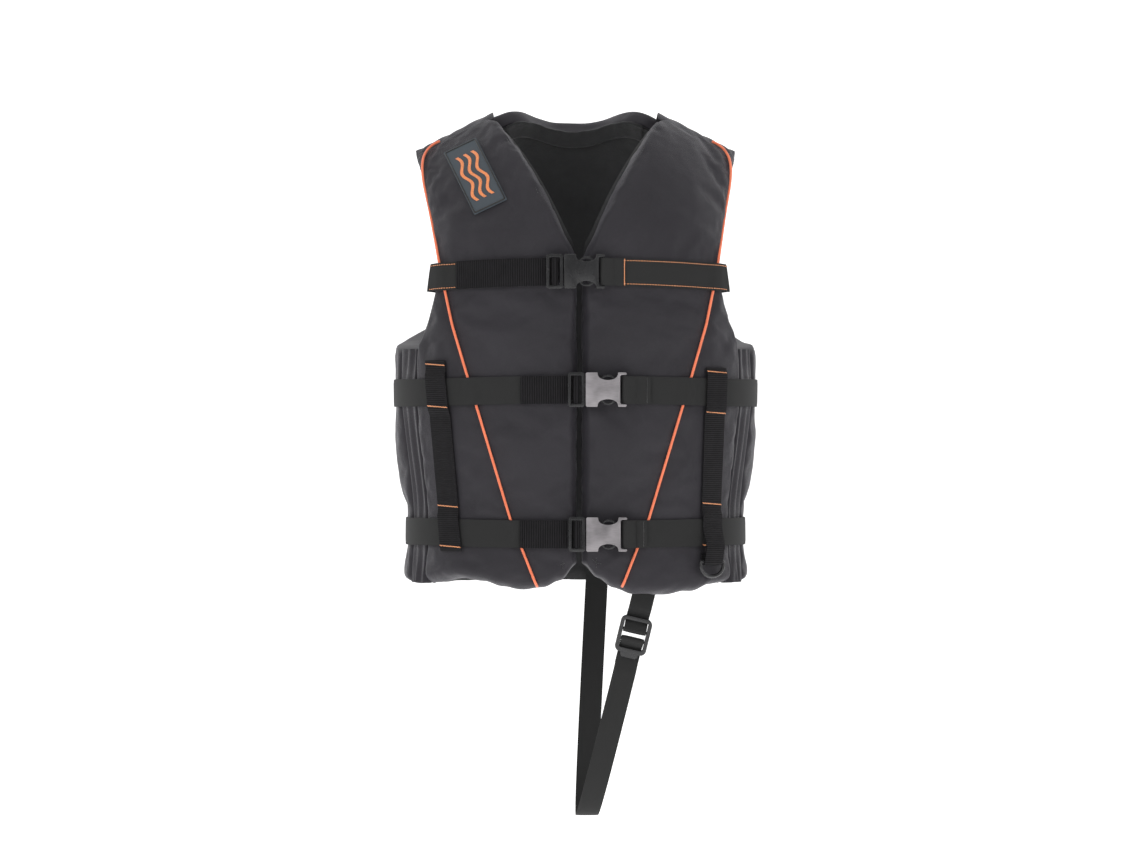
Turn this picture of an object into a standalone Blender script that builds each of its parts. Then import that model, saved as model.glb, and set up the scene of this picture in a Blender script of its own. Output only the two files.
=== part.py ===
"""Foam buoyancy vest with three buckled belts and a crotch strap.

Metres, +Z up. The front faces -Y and the wearer's left side is +X. The origin lies on the
middle plane, halfway between the two shoulder seats, level with the mean shoulder height.
"""
from math import asin, asinh, cos, cosh, hypot, pi, radians, sin, sinh

import bmesh
import bpy
from mathutils import Matrix, Vector

# ---------------------------------------------------------------- driving dimensions
CLEARANCE = 0.0003          # left between pieces that touch

# the body form that every sewn panel lies on
PLAN_POWER = 2.5            # squareness of the torso in plan
ARCH_POWER = 1.8            # roundness of the shoulder arch in side view
ARCH_HEIGHT = 0.190         # how far below the ridge the chest reaches its full depth
RIDGE_CENTRE = 0.072        # height of the shoulder ridge line if it ran on to the middle plane
RIDGE_SLOPE = 0.517         # fall of the ridge line towards the arm
RIDGE_ROUND = 0.025
HALF_WIDTHS = ((-0.500, 0.189), (-0.441, 0.185), (-0.285, 0.199), (-0.180, 0.197))
HALF_DEPTHS = ((-0.500, 0.136), (-0.441, 0.138), (-0.285, 0.150), (-0.180, 0.151))

# padded panels
PAD = 0.030                 # thickness of a padded panel
PAD_AT_RIDGE = 0.6          # share of that thickness left on the shoulder ridge
CLOTH = 0.0012              # shell and lining cloth
RIM = 0.020                 # share of a panel's width taken by the shell's side wall
FOAM_INSET = 0.042          # share by which the foam stands back from the panel's edge
FOAM_TOP = 0.0032
FOAM_BOTTOM = 0.0262
SKIRT = 0.0276              # depth of the shell's side wall
LINING_TOP = 0.0300

NECK_INNER = 0.089          # half width of the neck hole at the ridge
SHOULDER_OUTER = 0.180
NECK_APEX_Z = -0.138
NECK_APEX_X = 0.006
FRONT_EDGE_X = 0.003
ARMHOLE_WAIST = (0.1565, -0.150)
ARMHOLE_CURVES = (1.15, 1.60)    # how the edge swings out above and below the waist
SIDE_TOP_Z = -0.237
FRONT_SIDE_ANGLE = radians(62.0)
HEM_LINE = {                # share of the way from the middle to the side, height
    "left": (
        (0.0, -0.476), (0.05, -0.491), (0.12, -0.501), (0.22, -0.508), (0.40, -0.509),
        (0.60, -0.506), (0.80, -0.499), (1.0, -0.496),
    ),
    "right": (
        (0.0, -0.476), (0.05, -0.493), (0.12, -0.500), (0.22, -0.503), (0.36, -0.500),
        (0.48, -0.495), (0.65, -0.492), (1.0, -0.496),
    ),
}
BACK_NECK_Z = 0.018
BACK_SIDE_ANGLE = radians(77.5)
BACK_HEM = -0.498
ARMHOLE_LOW_X = 0.1795      # half width where the armhole meets the side seam
BACK_ARM_SHIFT = 0.006      # the back's armhole edge lies this far inside the front's
BACK_ARM_RISE = 0.063       # height over which that edge swings in from the side
BACK_ARM_EASE = 0.42
BACK_ARM_LOW_Z = -0.200
KNOT_ROWS = (0.0, 5.0, 9.0, 15.0)
ROWS = 15
RIDGE_EASE = 1.45
SEAM_FALL = 0.004           # the panels stop this far below the ridge, where the yoke lies
LEVEL_BREAKS = (-0.150, SIDE_TOP_Z)
PAD_FALL = 0.120            # fall over which the padding reaches its full thickness
FACING_HALF_WIDTH = 0.080
FACING_RISE = 0.001
FACING_WIDTH = 0.014
FACING_DEPTHS = (0.0350, 0.0362)

# side gusset
GUSSET_ANGLES = (radians(62.9), radians(76.7))
GUSSET_DEPTHS = (0.004, 0.012)
GUSSET_Z = (-0.243, -0.496)

# shoulder yoke
YOKE_REACH = 0.0034         # fall of its two edges below the ridge
YOKE_DEPTHS = (0.002, 0.012)

# webbing
WEB_WIDTH = 0.030
WEB_NARROW = 0.025
WEB = 0.0016
WEB_LIFT = 0.0011           # webbing's inner face above the shell
UNDER = WEB_LIFT + WEB / 2.0
OVER = WEB_LIFT + 1.5 * WEB + 0.0006
BELT_REACH = 0.160          # half width over which a belt droops
BELT_TUCK = 0.156           # where the top belt turns in round the armhole edge
TUCK_OFFSET = 0.0032
TUCK_LIFTS = (UNDER, -0.006, -0.018, -0.026)
TAIL_RISE = ((-0.0065, 0.0037), (-0.0044, 0.0041), (-0.0031, 0.0053))
CROSS_STEP = 0.0012         # gap that upright webbing keeps over a belt
CROSS_RUN = 0.009
SLOPE_ALLOWANCE = 0.96      # width seen from the front of webbing that lies on the turned flank
BELT_Z = {"top": -0.158, "middle": -0.286, "bottom": -0.443}
BELT_DROP = {"top": 0.006, "middle": 0.003, "bottom": -0.002}
BUCKLE_X = {"top": -0.0235, "middle": 0.0, "bottom": 0.001}
TAIL_END_X = {"top": -0.132, "middle": -0.064, "bottom": -0.064}
FOLD_END_X = {"top": 0.047, "middle": 0.076, "bottom": 0.072}
VERTICAL_WEB = {
    "left": ((0.1485, -0.262), (0.1420, -0.470)),
    "right": ((-0.1557, -0.254), (-0.1368, -0.462)),
}

# side release buckle, in its own frame: x along the belt, y into the body, z up
BUCKLE_LIFT = 0.0098        # middle of the buckle's thickness above the shell
FRAME_X = (-0.0137, 0.0047)
FRAME_HALF_Z = 0.0188
FRAME_HALF_Y = 0.0030
FRAME_BAR = 0.0034
CENTRE_BAR_X = -0.0045
CENTRE_BAR_R = 0.0016
SOCKET_X = (0.0055, 0.0430)
SOCKET_HALF_Z = 0.0187
SOCKET_HALF_Y = 0.0048
SOCKET_WALL = 0.0020
WINDOW_X = (0.0185, 0.0405)
WINDOW_HALF_Z = 0.0105
CAVITY_HALF_Z = 0.0135
EAR_X = 0.0500
EAR_Z = 0.0160
SOCKET_BAR_X = 0.0480
SOCKET_BAR_R = 0.0015
TONGUE_X = 0.0200
TONGUE_HALF_Z = 0.0024
PRONG_HALF_Y = 0.0021
PRONG_PIVOT = (0.0064, 0.0078)
PRONG_OUTLINE = (
    (0.0051, 0.0062), (0.0200, 0.0066), (0.0340, 0.0078), (0.0385, 0.0096), (0.0388, 0.0112),
    (0.0370, 0.0136), (0.0335, 0.0158), (0.0295, 0.0164), (0.0258, 0.0154), (0.0228, 0.0126),
    (0.0205, 0.0098), (0.0175, 0.0092), (0.0051, 0.0094),
)
RELEASE_EYE = ((0.0300, 0.0121), (0.0048, 0.0019))

# D ring below the left vertical webbing
RING_HALF_WIDTH = 0.0178
RING_BAR_Z = -0.4735
RING_LOW_Z = -0.4915
RING_R = 0.0020
RING_LIFT = 0.0060
RING_CORNER = 0.0010
RING_SHOULDER = 0.0045      # straight drop on each side before the bow starts

# crotch strap: front hem, lowest point and back hem on the strap's middle line
STRAP_FRONT = Vector((0.0782, -0.0930, -0.4820))
STRAP_LOW = Vector((0.0127, 0.0020, -0.7560))
STRAP_BACK = Vector((0.0280, 0.0985, -0.4860))
LOCK_CENTRE_Z = -0.5560
LOCK_HALF_WIDTH = 0.0174
LOCK_TOP = 0.0220
LOCK_FOOT = -0.0190
LOCK_LIP = -0.0240
LOCK_WINDOW = (-0.0138, 0.0178)
LOCK_BARS = {"upper": 0.0070, "lower": -0.0038}
LOCK_HINGE = LOCK_BARS["upper"]     # the short sewn webbing is turned round this bar
LOCK_BAR_R = 0.0017
LOCK_SIDE = 0.0042
LOCK_HALF_THICK = 0.0022
TAB_SHARE = 0.58            # share of the way to the adjuster that the webbing hangs straight
TAB_PASS = ((-0.0036, 0.0240), (-0.0036, 0.0176), (-0.0012, 0.0146))
STRAP_GROW = 2.6            # how deep the hanging loop sags
GRIP_PASS = ((-0.0038, -0.0250), (-0.0038, -0.0150), (-0.0014, -0.0108))
GRIP_BACK = ((-0.0060, -0.0090), (-0.0062, -0.0210))
STRAP_START = 0.047         # share of the loop between the adjuster's middle and the strap's top end

# patch
PATCH_CENTRE = (-0.1120, -0.0530)
PATCH_SIZE = (0.0390, 0.0770)
PATCH_TILT = radians(25.0)
PATCH_THICK = 0.0018

PIPING_R = 0.0015
PIPING_HUMP = 0.0034        # how far a belt stands up to pass over the piping
HUMP_FLAT = 0.0070
HUMP_FALL = 0.0120
PIPING_LINE = (
    (-0.0115, 0.1500), (-0.0150, 0.1575), (-0.0210, 0.1640), (-0.0300, 0.1685),
    (-0.0440, 0.1700), (-0.0605, 0.1692), (-0.0825, 0.1658), (-0.1045, 0.1612),
    (-0.1265, 0.1562), (-0.1430, 0.1530), (-0.2150, 0.1380), (-0.2700, 0.1220),
    (-0.4270, 0.0750), (-0.5000, 0.0465),
)
PIPING_STEP = 0.013


# ---------------------------------------------------------------- materials
def finish(name, colour, roughness, metallic=0.0):
    material = bpy.data.materials.new(name)
    material.use_nodes = True
    shader = material.node_tree.nodes["Principled BSDF"]
    shader.inputs["Base Color"].default_value = (*colour, 1.0)
    shader.inputs["Roughness"].default_value = roughness
    shader.inputs["Metallic"].default_value = metallic
    return material


def make_finishes():
    return {
        "shell": finish("shell_cloth", (0.040, 0.037, 0.045), 0.62),
        "lining": finish("lining_cloth", (0.012, 0.012, 0.013), 0.80),
        "foam": finish("buoyant_foam", (0.560, 0.570, 0.560), 0.90),
        "webbing": finish("belt_webbing", (0.010, 0.010, 0.011), 0.75),
        "plastic": finish("buckle_plastic", (0.018, 0.018, 0.020), 0.35),
        "piping": finish("piping_cord", (0.850, 0.200, 0.090), 0.60),
        "rubber": finish("patch_rubber", (0.055, 0.065, 0.080), 0.55),
    }


# ---------------------------------------------------------------- the body form
def clamp(value, low, high):
    return max(low, min(high, value))


def ease(value):
    value = clamp(value, 0.0, 1.0)
    return value * value * (3.0 - 2.0 * value)


def mix(start, end, share):
    return start + (end - start) * share


def through(stations, position):
    """Smooth value through a short list of (position, value), held at both ends."""
    if position <= stations[0][0]:
        return stations[0][1]
    for (low, value), (high, following) in zip(stations, stations[1:]):
        if position <= high:
            return mix(value, following, ease((position - low) / (high - low)))
    return stations[-1][1]


def along(stations, position):
    """Straight-line value through a falling list of (position, value)."""
    for (high, value), (low, following) in zip(stations, stations[1:]):
        if position >= low:
            return mix(value, following, clamp((high - position) / (high - low), 0.0, 1.0))
    return stations[-1][1]


def signed_power(value, power):
    return abs(value) ** power if value >= 0.0 else -(abs(value) ** power)


def ridge(x):
    """Height of the shoulder ridge line above a place across the body."""
    return RIDGE_CENTRE - RIDGE_SLOPE * hypot(x, RIDGE_ROUND)


def arch(fall):
    """Share of the full depth reached at a fall below the ridge."""
    rest = clamp(1.0 - fall / ARCH_HEIGHT, 0.0, 1.0)
    return (1.0 - rest ** ARCH_POWER) ** (1.0 / ARCH_POWER)


def surface(angle, fall):
    """Outer surface: angle 0 is the front middle, 90 degrees the wearer's left side."""
    half_width = HALF_WIDTHS[-1][1]
    for _ in range(4):
        x = half_width * signed_power(sin(angle), 2.0 / PLAN_POWER)
        z = ridge(x) - fall
        half_width = through(HALF_WIDTHS, z)
    y = -through(HALF_DEPTHS, z) * signed_power(cos(angle), 2.0 / PLAN_POWER) * arch(fall)
    return Vector((x, y, z))


def outward(angle, fall):
    step = 0.002
    across = surface(angle + step, fall) - surface(angle - step, fall)
    down = surface(angle, fall + step) - surface(angle, max(fall - step, 0.0))
    return down.cross(across).normalized()


def on_form(angle, fall, depth):
    """A point at a depth under the outer surface; the padding thins towards the ridge."""
    if depth > 0.0:
        depth *= mix(PAD_AT_RIDGE, 1.0, ease(fall / PAD_FALL))
    return surface(angle, fall) - outward(angle, fall) * depth


def angle_at(x, z, front=True):
    share = clamp(abs(x) / through(HALF_WIDTHS, z), 0.0, 1.0)
    angle = asin(share ** (PLAN_POWER / 2.0))
    if not front:
        angle = pi - angle
    return angle if x >= 0.0 else -angle


def fall_at(angle, z):
    x = through(HALF_WIDTHS, z) * signed_power(sin(angle), 2.0 / PLAN_POWER)
    return max(ridge(x) - z, 0.0)


def at_height(angle, z, depth):
    return on_form(angle, fall_at(angle, z), depth)


def at_front(x, z, depth):
    return at_height(angle_at(x, z), z, depth)


# ---------------------------------------------------------------- mesh helpers
def add_object(name, mesh, material, smooth=False):
    mesh.materials.append(material)
    if smooth:
        mesh.shade_smooth()
        mesh.set_sharp_from_angle(angle=radians(35.0))
    item = bpy.data.objects.new(name, mesh)
    bpy.context.collection.objects.link(item)
    return item


def face_outwards(bm):
    bmesh.ops.recalc_face_normals(bm, faces=bm.faces)
    if bm.calc_volume(signed=True) < 0.0:
        bmesh.ops.reverse_faces(bm, faces=bm.faces)


def finish_mesh(name, bm, material, smooth=False):
    face_outwards(bm)
    mesh = bpy.data.meshes.new(name)
    bm.to_mesh(mesh)
    bm.free()
    return add_object(name, mesh, material, smooth)


def flat_slab(columns, rows):
    """A slab in pattern space: x and y run 0 to 1 across the piece, z is 0 outside, 1 inside."""
    bm = bmesh.new()
    bmesh.ops.create_grid(bm, x_segments=columns, y_segments=rows, size=0.5)
    bmesh.ops.translate(bm, verts=bm.verts, vec=(0.5, 0.5, 0.0))
    lower = bmesh.ops.extrude_face_region(bm, geom=bm.faces[:], use_keep_orig=True)
    moved = [item for item in lower["geom"] if isinstance(item, bmesh.types.BMVert)]
    bmesh.ops.translate(bm, verts=moved, vec=(0.0, 0.0, 1.0))
    return bm


def wrapped_slab(name, material, columns, rows, place, smooth=True):
    """Cut a slab in pattern space and lay it on the form with place(across, down, inward)."""
    bm = flat_slab(columns, rows)
    for vert in bm.verts:
        vert.co = place(*vert.co)
    return finish_mesh(name, bm, material, smooth)


def wrapped_tray(name, material, columns, rows, place):
    """A cloth skin with a side wall all round, open towards the body."""
    bm = flat_slab(columns, rows)
    floor = [face for face in bm.faces if all(vert.co.z > 0.5 for vert in face.verts)]
    bmesh.ops.inset_region(bm, faces=floor, thickness=RIM, use_even_offset=True)
    ceiling = CLOTH / SKIRT - 1.0
    bmesh.ops.inset_region(bm, faces=floor, thickness=0.0004, depth=ceiling, use_even_offset=True)
    for vert in bm.verts:
        vert.co = place(vert.co.x, vert.co.y, vert.co.z * SKIRT)
    return finish_mesh(name, bm, material, smooth=True)


def strip(name, material, path, thickness):
    """Webbing along a path of (centre, half-width vector) pairs, as one closed solid."""
    last = len(path) - 1
    bm = flat_slab(last, 1)
    for vert in bm.verts:
        step = round(vert.co.x * last)
        centre, half = path[step]
        ahead = path[min(step + 1, last)][0] - path[max(step - 1, 0)][0]
        normal = half.cross(ahead).normalized()
        side = 2.0 * vert.co.y - 1.0
        vert.co = centre + half * side + normal * (vert.co.z - 0.5) * thickness
    return finish_mesh(name, bm, material, smooth=True)


def outline_prism(points, half_depth):
    """Extrude a closed outline in x and z to both sides of y = 0."""
    bm = bmesh.new()
    verts = [bm.verts.new((x, -half_depth, z)) for x, z in points]
    face = bm.faces.new(verts)
    grown = bmesh.ops.extrude_face_region(bm, geom=[face], use_keep_orig=True)
    moved = [item for item in grown["geom"] if isinstance(item, bmesh.types.BMVert)]
    bmesh.ops.translate(bm, verts=moved, vec=(0.0, 2.0 * half_depth, 0.0))
    return bm


def box_mesh(low, high):
    bm = bmesh.new()
    bmesh.ops.create_cube(bm, size=1.0)
    size = [b - a for a, b in zip(low, high)]
    centre = [(a + b) / 2.0 for a, b in zip(low, high)]
    bmesh.ops.scale(bm, verts=bm.verts, vec=size)
    bmesh.ops.translate(bm, verts=bm.verts, vec=centre)
    return bm


def rod_mesh(radius, length, axis, centre, sides=12):
    """A round rod along the x, y or z axis."""
    bm = bmesh.new()
    turn = {"x": Matrix.Rotation(pi / 2.0, 4, "Y"), "y": Matrix.Rotation(pi / 2.0, 4, "X")}
    bmesh.ops.create_cone(
        bm, cap_ends=True, segments=sides, radius1=radius, radius2=radius, depth=length,
        matrix=Matrix.Translation(centre) @ turn.get(axis, Matrix.Identity(4)),
    )
    return bm


def helper(name, bm):
    """A solid that only cuts or joins another one."""
    face_outwards(bm)
    mesh = bpy.data.meshes.new(name)
    bm.to_mesh(mesh)
    bm.free()
    item = bpy.data.objects.new(name, mesh)
    bpy.context.collection.objects.link(item)
    item.hide_render = True
    item.display_type = "WIRE"
    return item


def combine(item, tool, operation):
    step = item.modifiers.new(operation.lower(), "BOOLEAN")
    step.operation = operation
    step.solver = "EXACT"
    step.object = tool
    tool.parent = item


def arc(centre, radius, start, end, count):
    """Points of an arc in x and z, angles in degrees."""
    turns = [radians(mix(start, end, i / count)) for i in range(count + 1)]
    return [(centre[0] + radius * cos(a), centre[1] + radius * sin(a)) for a in turns]


def rounded_box(half_x, half_z, radius, count=4, centre=(0.0, 0.0)):
    corners = ((1, 1, 0), (-1, 1, 90), (-1, -1, 180), (1, -1, 270))
    points = []
    for sx, sz, start in corners:
        middle = (centre[0] + sx * (half_x - radius), centre[1] + sz * (half_z - radius))
        points += arc(middle, radius, start, start + 90, count)
    return points


# ---------------------------------------------------------------- pattern pieces
def row_level(levels, down):
    """Height at a share of the way down, through four levels that sit on the knot rows."""
    row = clamp(down, 0.0, 1.0) * ROWS
    for i in range(3):
        if row <= KNOT_ROWS[i + 1]:
            share = (row - KNOT_ROWS[i]) / (KNOT_ROWS[i + 1] - KNOT_ROWS[i])
            if i == 0:
                share = share ** RIDGE_EASE
            return mix(levels[i], levels[i + 1], share)
    return levels[-1]


def ridge_share(down):
    """1 at the ridge seam, falling to 0 at the second knot row."""
    share = clamp(down * ROWS / KNOT_ROWS[1], 0.0, 1.0)
    return 1.0 - share ** RIDGE_EASE


def neck_x(z):
    slope = (NECK_INNER - NECK_APEX_X) / (ridge(NECK_INNER) - SEAM_FALL - NECK_APEX_Z)
    return max(FRONT_EDGE_X, NECK_APEX_X + (z - NECK_APEX_Z) * slope)


def armhole_x(z):
    waist_x, waist_z = ARMHOLE_WAIST
    edge, level, curve = SHOULDER_OUTER, ridge(SHOULDER_OUTER), ARMHOLE_CURVES[0]
    if z < waist_z:
        edge, level, curve = ARMHOLE_LOW_X, SIDE_TOP_Z, ARMHOLE_CURVES[1]
    return waist_x + (edge - waist_x) * ((z - waist_z) / (level - waist_z)) ** curve


def x_on_form(angle, z):
    return through(HALF_WIDTHS, z) * signed_power(sin(angle), 2.0 / PLAN_POWER)


def front_place(side):
    """Pattern of a front panel: across runs from the middle to the side, down from the ridge."""
    hem = HEM_LINE["left" if side > 0.0 else "right"]
    centre_hem, side_hem = hem[0][1], hem[-1][1]
    inner_levels = (ridge(NECK_INNER) - SEAM_FALL, NECK_APEX_Z, SIDE_TOP_Z, centre_hem)
    outer_levels = (ridge(SHOULDER_OUTER) - SEAM_FALL, *LEVEL_BREAKS, side_hem)

    def place(across, down, depth):
        inner_z = row_level(inner_levels, down)
        outer_z = row_level(outer_levels, down)
        inner = angle_at(neck_x(inner_z), inner_z)
        outer = FRONT_SIDE_ANGLE
        if outer_z > SIDE_TOP_Z:
            outer = angle_at(armhole_x(outer_z), outer_z)
        angle = mix(inner, outer, across)
        z = mix(inner_z, outer_z, across)
        straight = mix(inner_levels[0], outer_levels[0], across)
        z += (ridge(x_on_form(angle, z)) - SEAM_FALL - straight) * ridge_share(down)
        low = clamp((down * ROWS - KNOT_ROWS[2]) / (ROWS - KNOT_ROWS[2]), 0.0, 1.0)
        z -= (mix(centre_hem, side_hem, across) - through(hem, across)) * low ** 2
        point = at_height(angle, z, depth)
        point.x *= side
        return point

    return place


def back_edge_angle(z):
    """Side edge of the back panel: round the back of the armhole, then down the side."""
    if z < SIDE_TOP_Z:
        return BACK_SIDE_ANGLE
    arm = angle_at(armhole_x(z) - BACK_ARM_SHIFT, max(z, BACK_ARM_LOW_Z), front=False)
    share = clamp((z - SIDE_TOP_Z) / BACK_ARM_RISE, 0.0, 1.0)
    return mix(BACK_SIDE_ANGLE, arm, share ** BACK_ARM_EASE)


def back_place(across, down, depth):
    """Pattern of the back panel: across runs from the left side round to the right side."""
    levels = (ridge(SHOULDER_OUTER) - SEAM_FALL, *LEVEL_BREAKS, BACK_HEM)
    z = row_level(levels, down)
    row = min(int(clamp(down, 0.0, 1.0) * ROWS), ROWS - 1)
    above, below = (back_edge_angle(row_level(levels, r / ROWS)) for r in (row, row + 1))
    edge = mix(above, below, clamp(down, 0.0, 1.0) * ROWS - row)
    angle = mix(edge, 2.0 * pi - edge, across)
    x = x_on_form(angle, z)
    top = ridge(x) - SEAM_FALL
    if abs(x) < NECK_INNER:
        top = mix(BACK_NECK_Z, top, ease(abs(x) / NECK_INNER) ** 2)
    z += (top - levels[0]) * ridge_share(down)
    return at_height(angle, z, depth)


def inset(value):
    """Only the outermost rows and columns of the foam stand back; the others line up."""
    return clamp(value, FOAM_INSET, 1.0 - FOAM_INSET)


def padded_panel(name, finishes, columns, place):
    """Outer shell, foam and lining of one panel."""
    wrapped_tray(name + "_shell", finishes["shell"], columns, ROWS, place)

    def foam(across, down, inward):
        return place(inset(across), inset(down), mix(FOAM_TOP, FOAM_BOTTOM, inward))

    def lining(across, down, inward):
        return place(across, down, LINING_TOP + CLOTH * inward)

    wrapped_slab(name + "_foam", finishes["foam"], columns, ROWS, foam)
    wrapped_slab(name + "_lining", finishes["lining"], columns, ROWS, lining)


def make_panels(finishes):
    padded_panel("front_left", finishes, 8, front_place(1.0))
    padded_panel("front_right", finishes, 8, front_place(-1.0))
    padded_panel("back", finishes, 18, back_place)


def make_gussets(finishes):
    for side, name in ((1.0, "side_gusset_left"), (-1.0, "side_gusset_right")):
        def place(across, down, inward, side=side):
            point = at_height(
                mix(*GUSSET_ANGLES, across), mix(*GUSSET_Z, down), mix(*GUSSET_DEPTHS, inward)
            )
            point.x *= side
            return point

        wrapped_slab(name, finishes["shell"], 2, 7, place)


def make_yokes(finishes):
    """Unpadded cloth over each shoulder, between the front and back panels."""
    inner = angle_at(NECK_INNER, ridge(NECK_INNER))
    outer = angle_at(SHOULDER_OUTER, ridge(SHOULDER_OUTER))
    for side, name in ((1.0, "shoulder_yoke_left"), (-1.0, "shoulder_yoke_right")):
        def place(across, down, inward, side=side):
            reach = 2.0 * down - 1.0
            fall = YOKE_REACH * abs(reach) ** 1.8
            angle = mix(inner, outer, across)
            if reach > 0.0:
                angle = pi - angle
            point = on_form(angle, fall, mix(*YOKE_DEPTHS, inward))
            point.x *= side
            return point

        wrapped_slab(name, finishes["shell"], 3, 6, place)


def make_collar_facing(finishes):
    """Doubled cloth that stands up along the back of the neck hole, inside the lining."""
    start = angle_at(FACING_HALF_WIDTH, 0.0, front=False)

    def place(across, down, inward):
        angle = mix(start, 2.0 * pi - start, across)
        x = x_on_form(angle, 0.0)
        top = mix(BACK_NECK_Z, ridge(x) - SEAM_FALL, ease(abs(x) / NECK_INNER) ** 2)
        height = top + FACING_RISE - FACING_WIDTH * down
        return at_height(angle, height, mix(*FACING_DEPTHS, inward))

    wrapped_slab("collar_facing", finishes["lining"], 12, 1, place)


# ---------------------------------------------------------------- webbing
def belt_height(belt, x):
    return BELT_Z[belt] - BELT_DROP[belt] * min(abs(x) / BELT_REACH, 1.0) ** 2


def over_piping(belt, x):
    """Extra lift where a belt rides over the piping."""
    away = abs(abs(x) - along(PIPING_LINE, BELT_Z[belt]))
    return PIPING_HUMP * ease(1.0 - (away - HUMP_FLAT) / HUMP_FALL)


def belt_angles(belt, start, end, count):
    """Even steps along a belt, with more of them where it rides over the piping."""
    crossing = along(PIPING_LINE, BELT_Z[belt])
    offsets = (-HUMP_FLAT - HUMP_FALL, -HUMP_FLAT - 0.4 * HUMP_FALL, -HUMP_FLAT, 0.0)
    offsets += tuple(-offset for offset in offsets[:3])
    extra = [angle_at(crossing + offset, BELT_Z[belt]) for offset in offsets]
    extra += [-angle for angle in extra] + [2.0 * pi - angle for angle in extra]
    low, high = min(start, end), max(start, end)
    step = (high - low) / count
    even = [mix(low, high, i / count) for i in range(count + 1)]
    extra = [angle for angle in extra if low < angle < high]
    even = [a for a in even if a in (low, high) or all(abs(a - b) > 0.4 * step for b in extra)]
    return sorted(even + extra, reverse=start > end)


def belt_pose(belt, angle, lift):
    """Middle point and half-width vector of a belt that lies on the form."""
    x = x_on_form(angle, BELT_Z[belt])
    z = belt_height(belt, x)
    if cos(angle) > 0.0:
        lift = lift + over_piping(belt, x)
    top = at_height(angle, z + WEB_WIDTH / 2.0, -lift)
    low = at_height(angle, z - WEB_WIDTH / 2.0, -lift)
    return (top + low) / 2.0, (top - low) / 2.0


def flat_pose(belt, x, lift):
    """The same for a stretch that stands straight out in front of the chest."""
    front = surface(0.0, fall_at(0.0, BELT_Z[belt])).y
    half = Vector((0.0, 0.0, WEB_WIDTH / 2.0))
    return Vector((x, front - lift, belt_height(belt, x))), half


def turn_poses(belt, centre_x, lift, radius, start, end, count=8):
    """Half-turn round a bar, angles in degrees with 0 towards +X and 90 outward."""
    poses = []
    for i in range(count + 1):
        a = radians(mix(start, end, i / count))
        poses.append(flat_pose(belt, centre_x + radius * cos(a), lift + radius * sin(a)))
    return poses


def form_poses(belt, start_x, end_x, lift, count):
    z = BELT_Z[belt]
    start, end = angle_at(start_x, z), angle_at(end_x, z)
    return [belt_pose(belt, angle, lift) for angle in belt_angles(belt, start, end, count)]


def socket_fold(belt):
    """Webbing end doubled round the socket's bar, from the sewn end to the lower layer."""
    bar = BUCKLE_X[belt] + SOCKET_BAR_X
    radius = SOCKET_BAR_R + CLEARANCE + WEB / 2.0
    sewn = form_poses(belt, FOLD_END_X[belt], bar + 0.011, OVER, 2)
    turn = turn_poses(belt, bar, BUCKLE_LIFT, radius, 50, 285, 10)
    return sewn + turn


def wrap_at_armhole(belt, side):
    """Belt end turned in round the armhole edge of a front panel."""
    z = belt_height(belt, BELT_REACH)
    poses = []
    for lift in TUCK_LIFTS:
        top, low = (
            at_height(angle_at(armhole_x(level) + TUCK_OFFSET, level), level, -lift)
            for level in (z + WEB_WIDTH / 2.0, z - WEB_WIDTH / 2.0)
        )
        poses.append(((top + low) / 2.0, (top - low) / 2.0))
    return [mirrored(pose, side) for pose in poses]


def mirrored(pose, side):
    centre, half = pose
    return Vector((centre.x * side, centre.y, centre.z)), Vector((half.x * side, half.y, half.z))


def make_belts(finishes):
    cloth = finishes["webbing"]
    fixed_end = {belt: BUCKLE_X[belt] - 0.0040 for belt in BELT_Z}
    bar = BUCKLE_X["top"] + SOCKET_BAR_X
    left = socket_fold("top") + form_poses("top", bar + 0.014, BELT_TUCK, UNDER, 12)
    strip("top_belt_left", cloth, left + wrap_at_armhole("top", 1.0), WEB)
    right = form_poses("top", fixed_end["top"], -BELT_TUCK, UNDER, 12)
    strip("top_belt_right", cloth, right + wrap_at_armhole("top", -1.0), WEB)
    for belt in ("middle", "bottom"):
        z = BELT_Z[belt]
        start = angle_at(BUCKLE_X[belt] + SOCKET_BAR_X + 0.014, z)
        end = 2.0 * pi + angle_at(fixed_end[belt], z)
        around = [belt_pose(belt, angle, UNDER) for angle in belt_angles(belt, start, end, 50)]
        strip(belt + "_belt", cloth, socket_fold(belt) + around, WEB)


def make_tails(finishes):
    """Free belt end threaded round the male half's bar and laid back over the belt."""
    for belt in BELT_Z:
        shift = BUCKLE_X[belt]
        bar = shift + CENTRE_BAR_X
        radius = CENTRE_BAR_R + CLEARANCE + WEB / 2.0
        count = 6 if belt == "top" else 3
        path = form_poses(belt, TAIL_END_X[belt], shift - 0.017, OVER, count)
        path += [flat_pose(belt, bar + x, lift) for x, lift in TAIL_RISE]
        path += turn_poses(belt, bar, BUCKLE_LIFT, radius, 180, -80)
        strip(belt + "_belt_tail", finishes["webbing"], path, WEB)


def over_belts(z):
    """Lift of the upright webbing where it passes over the belts."""
    lift = WEB_LIFT
    for belt in ("middle", "bottom"):
        near = abs(z - belt_height(belt, VERTICAL_WEB["left"][0][0]))
        lift += (WEB + CROSS_STEP) * ease(1.0 - (near - WEB_WIDTH / 2.0 - 0.002) / CROSS_RUN)
    return lift


def upright_place(side_name):
    (top_x, top_z), (low_x, low_z) = VERTICAL_WEB[side_name]

    def place(across, down, inward):
        z = mix(top_z, low_z, down)
        x = mix(top_x, low_x, down) + (across - 0.5) * WEB_NARROW * SLOPE_ALLOWANCE
        return at_front(x, z, -(over_belts(z) + WEB * (1.0 - inward)))

    return place


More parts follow.
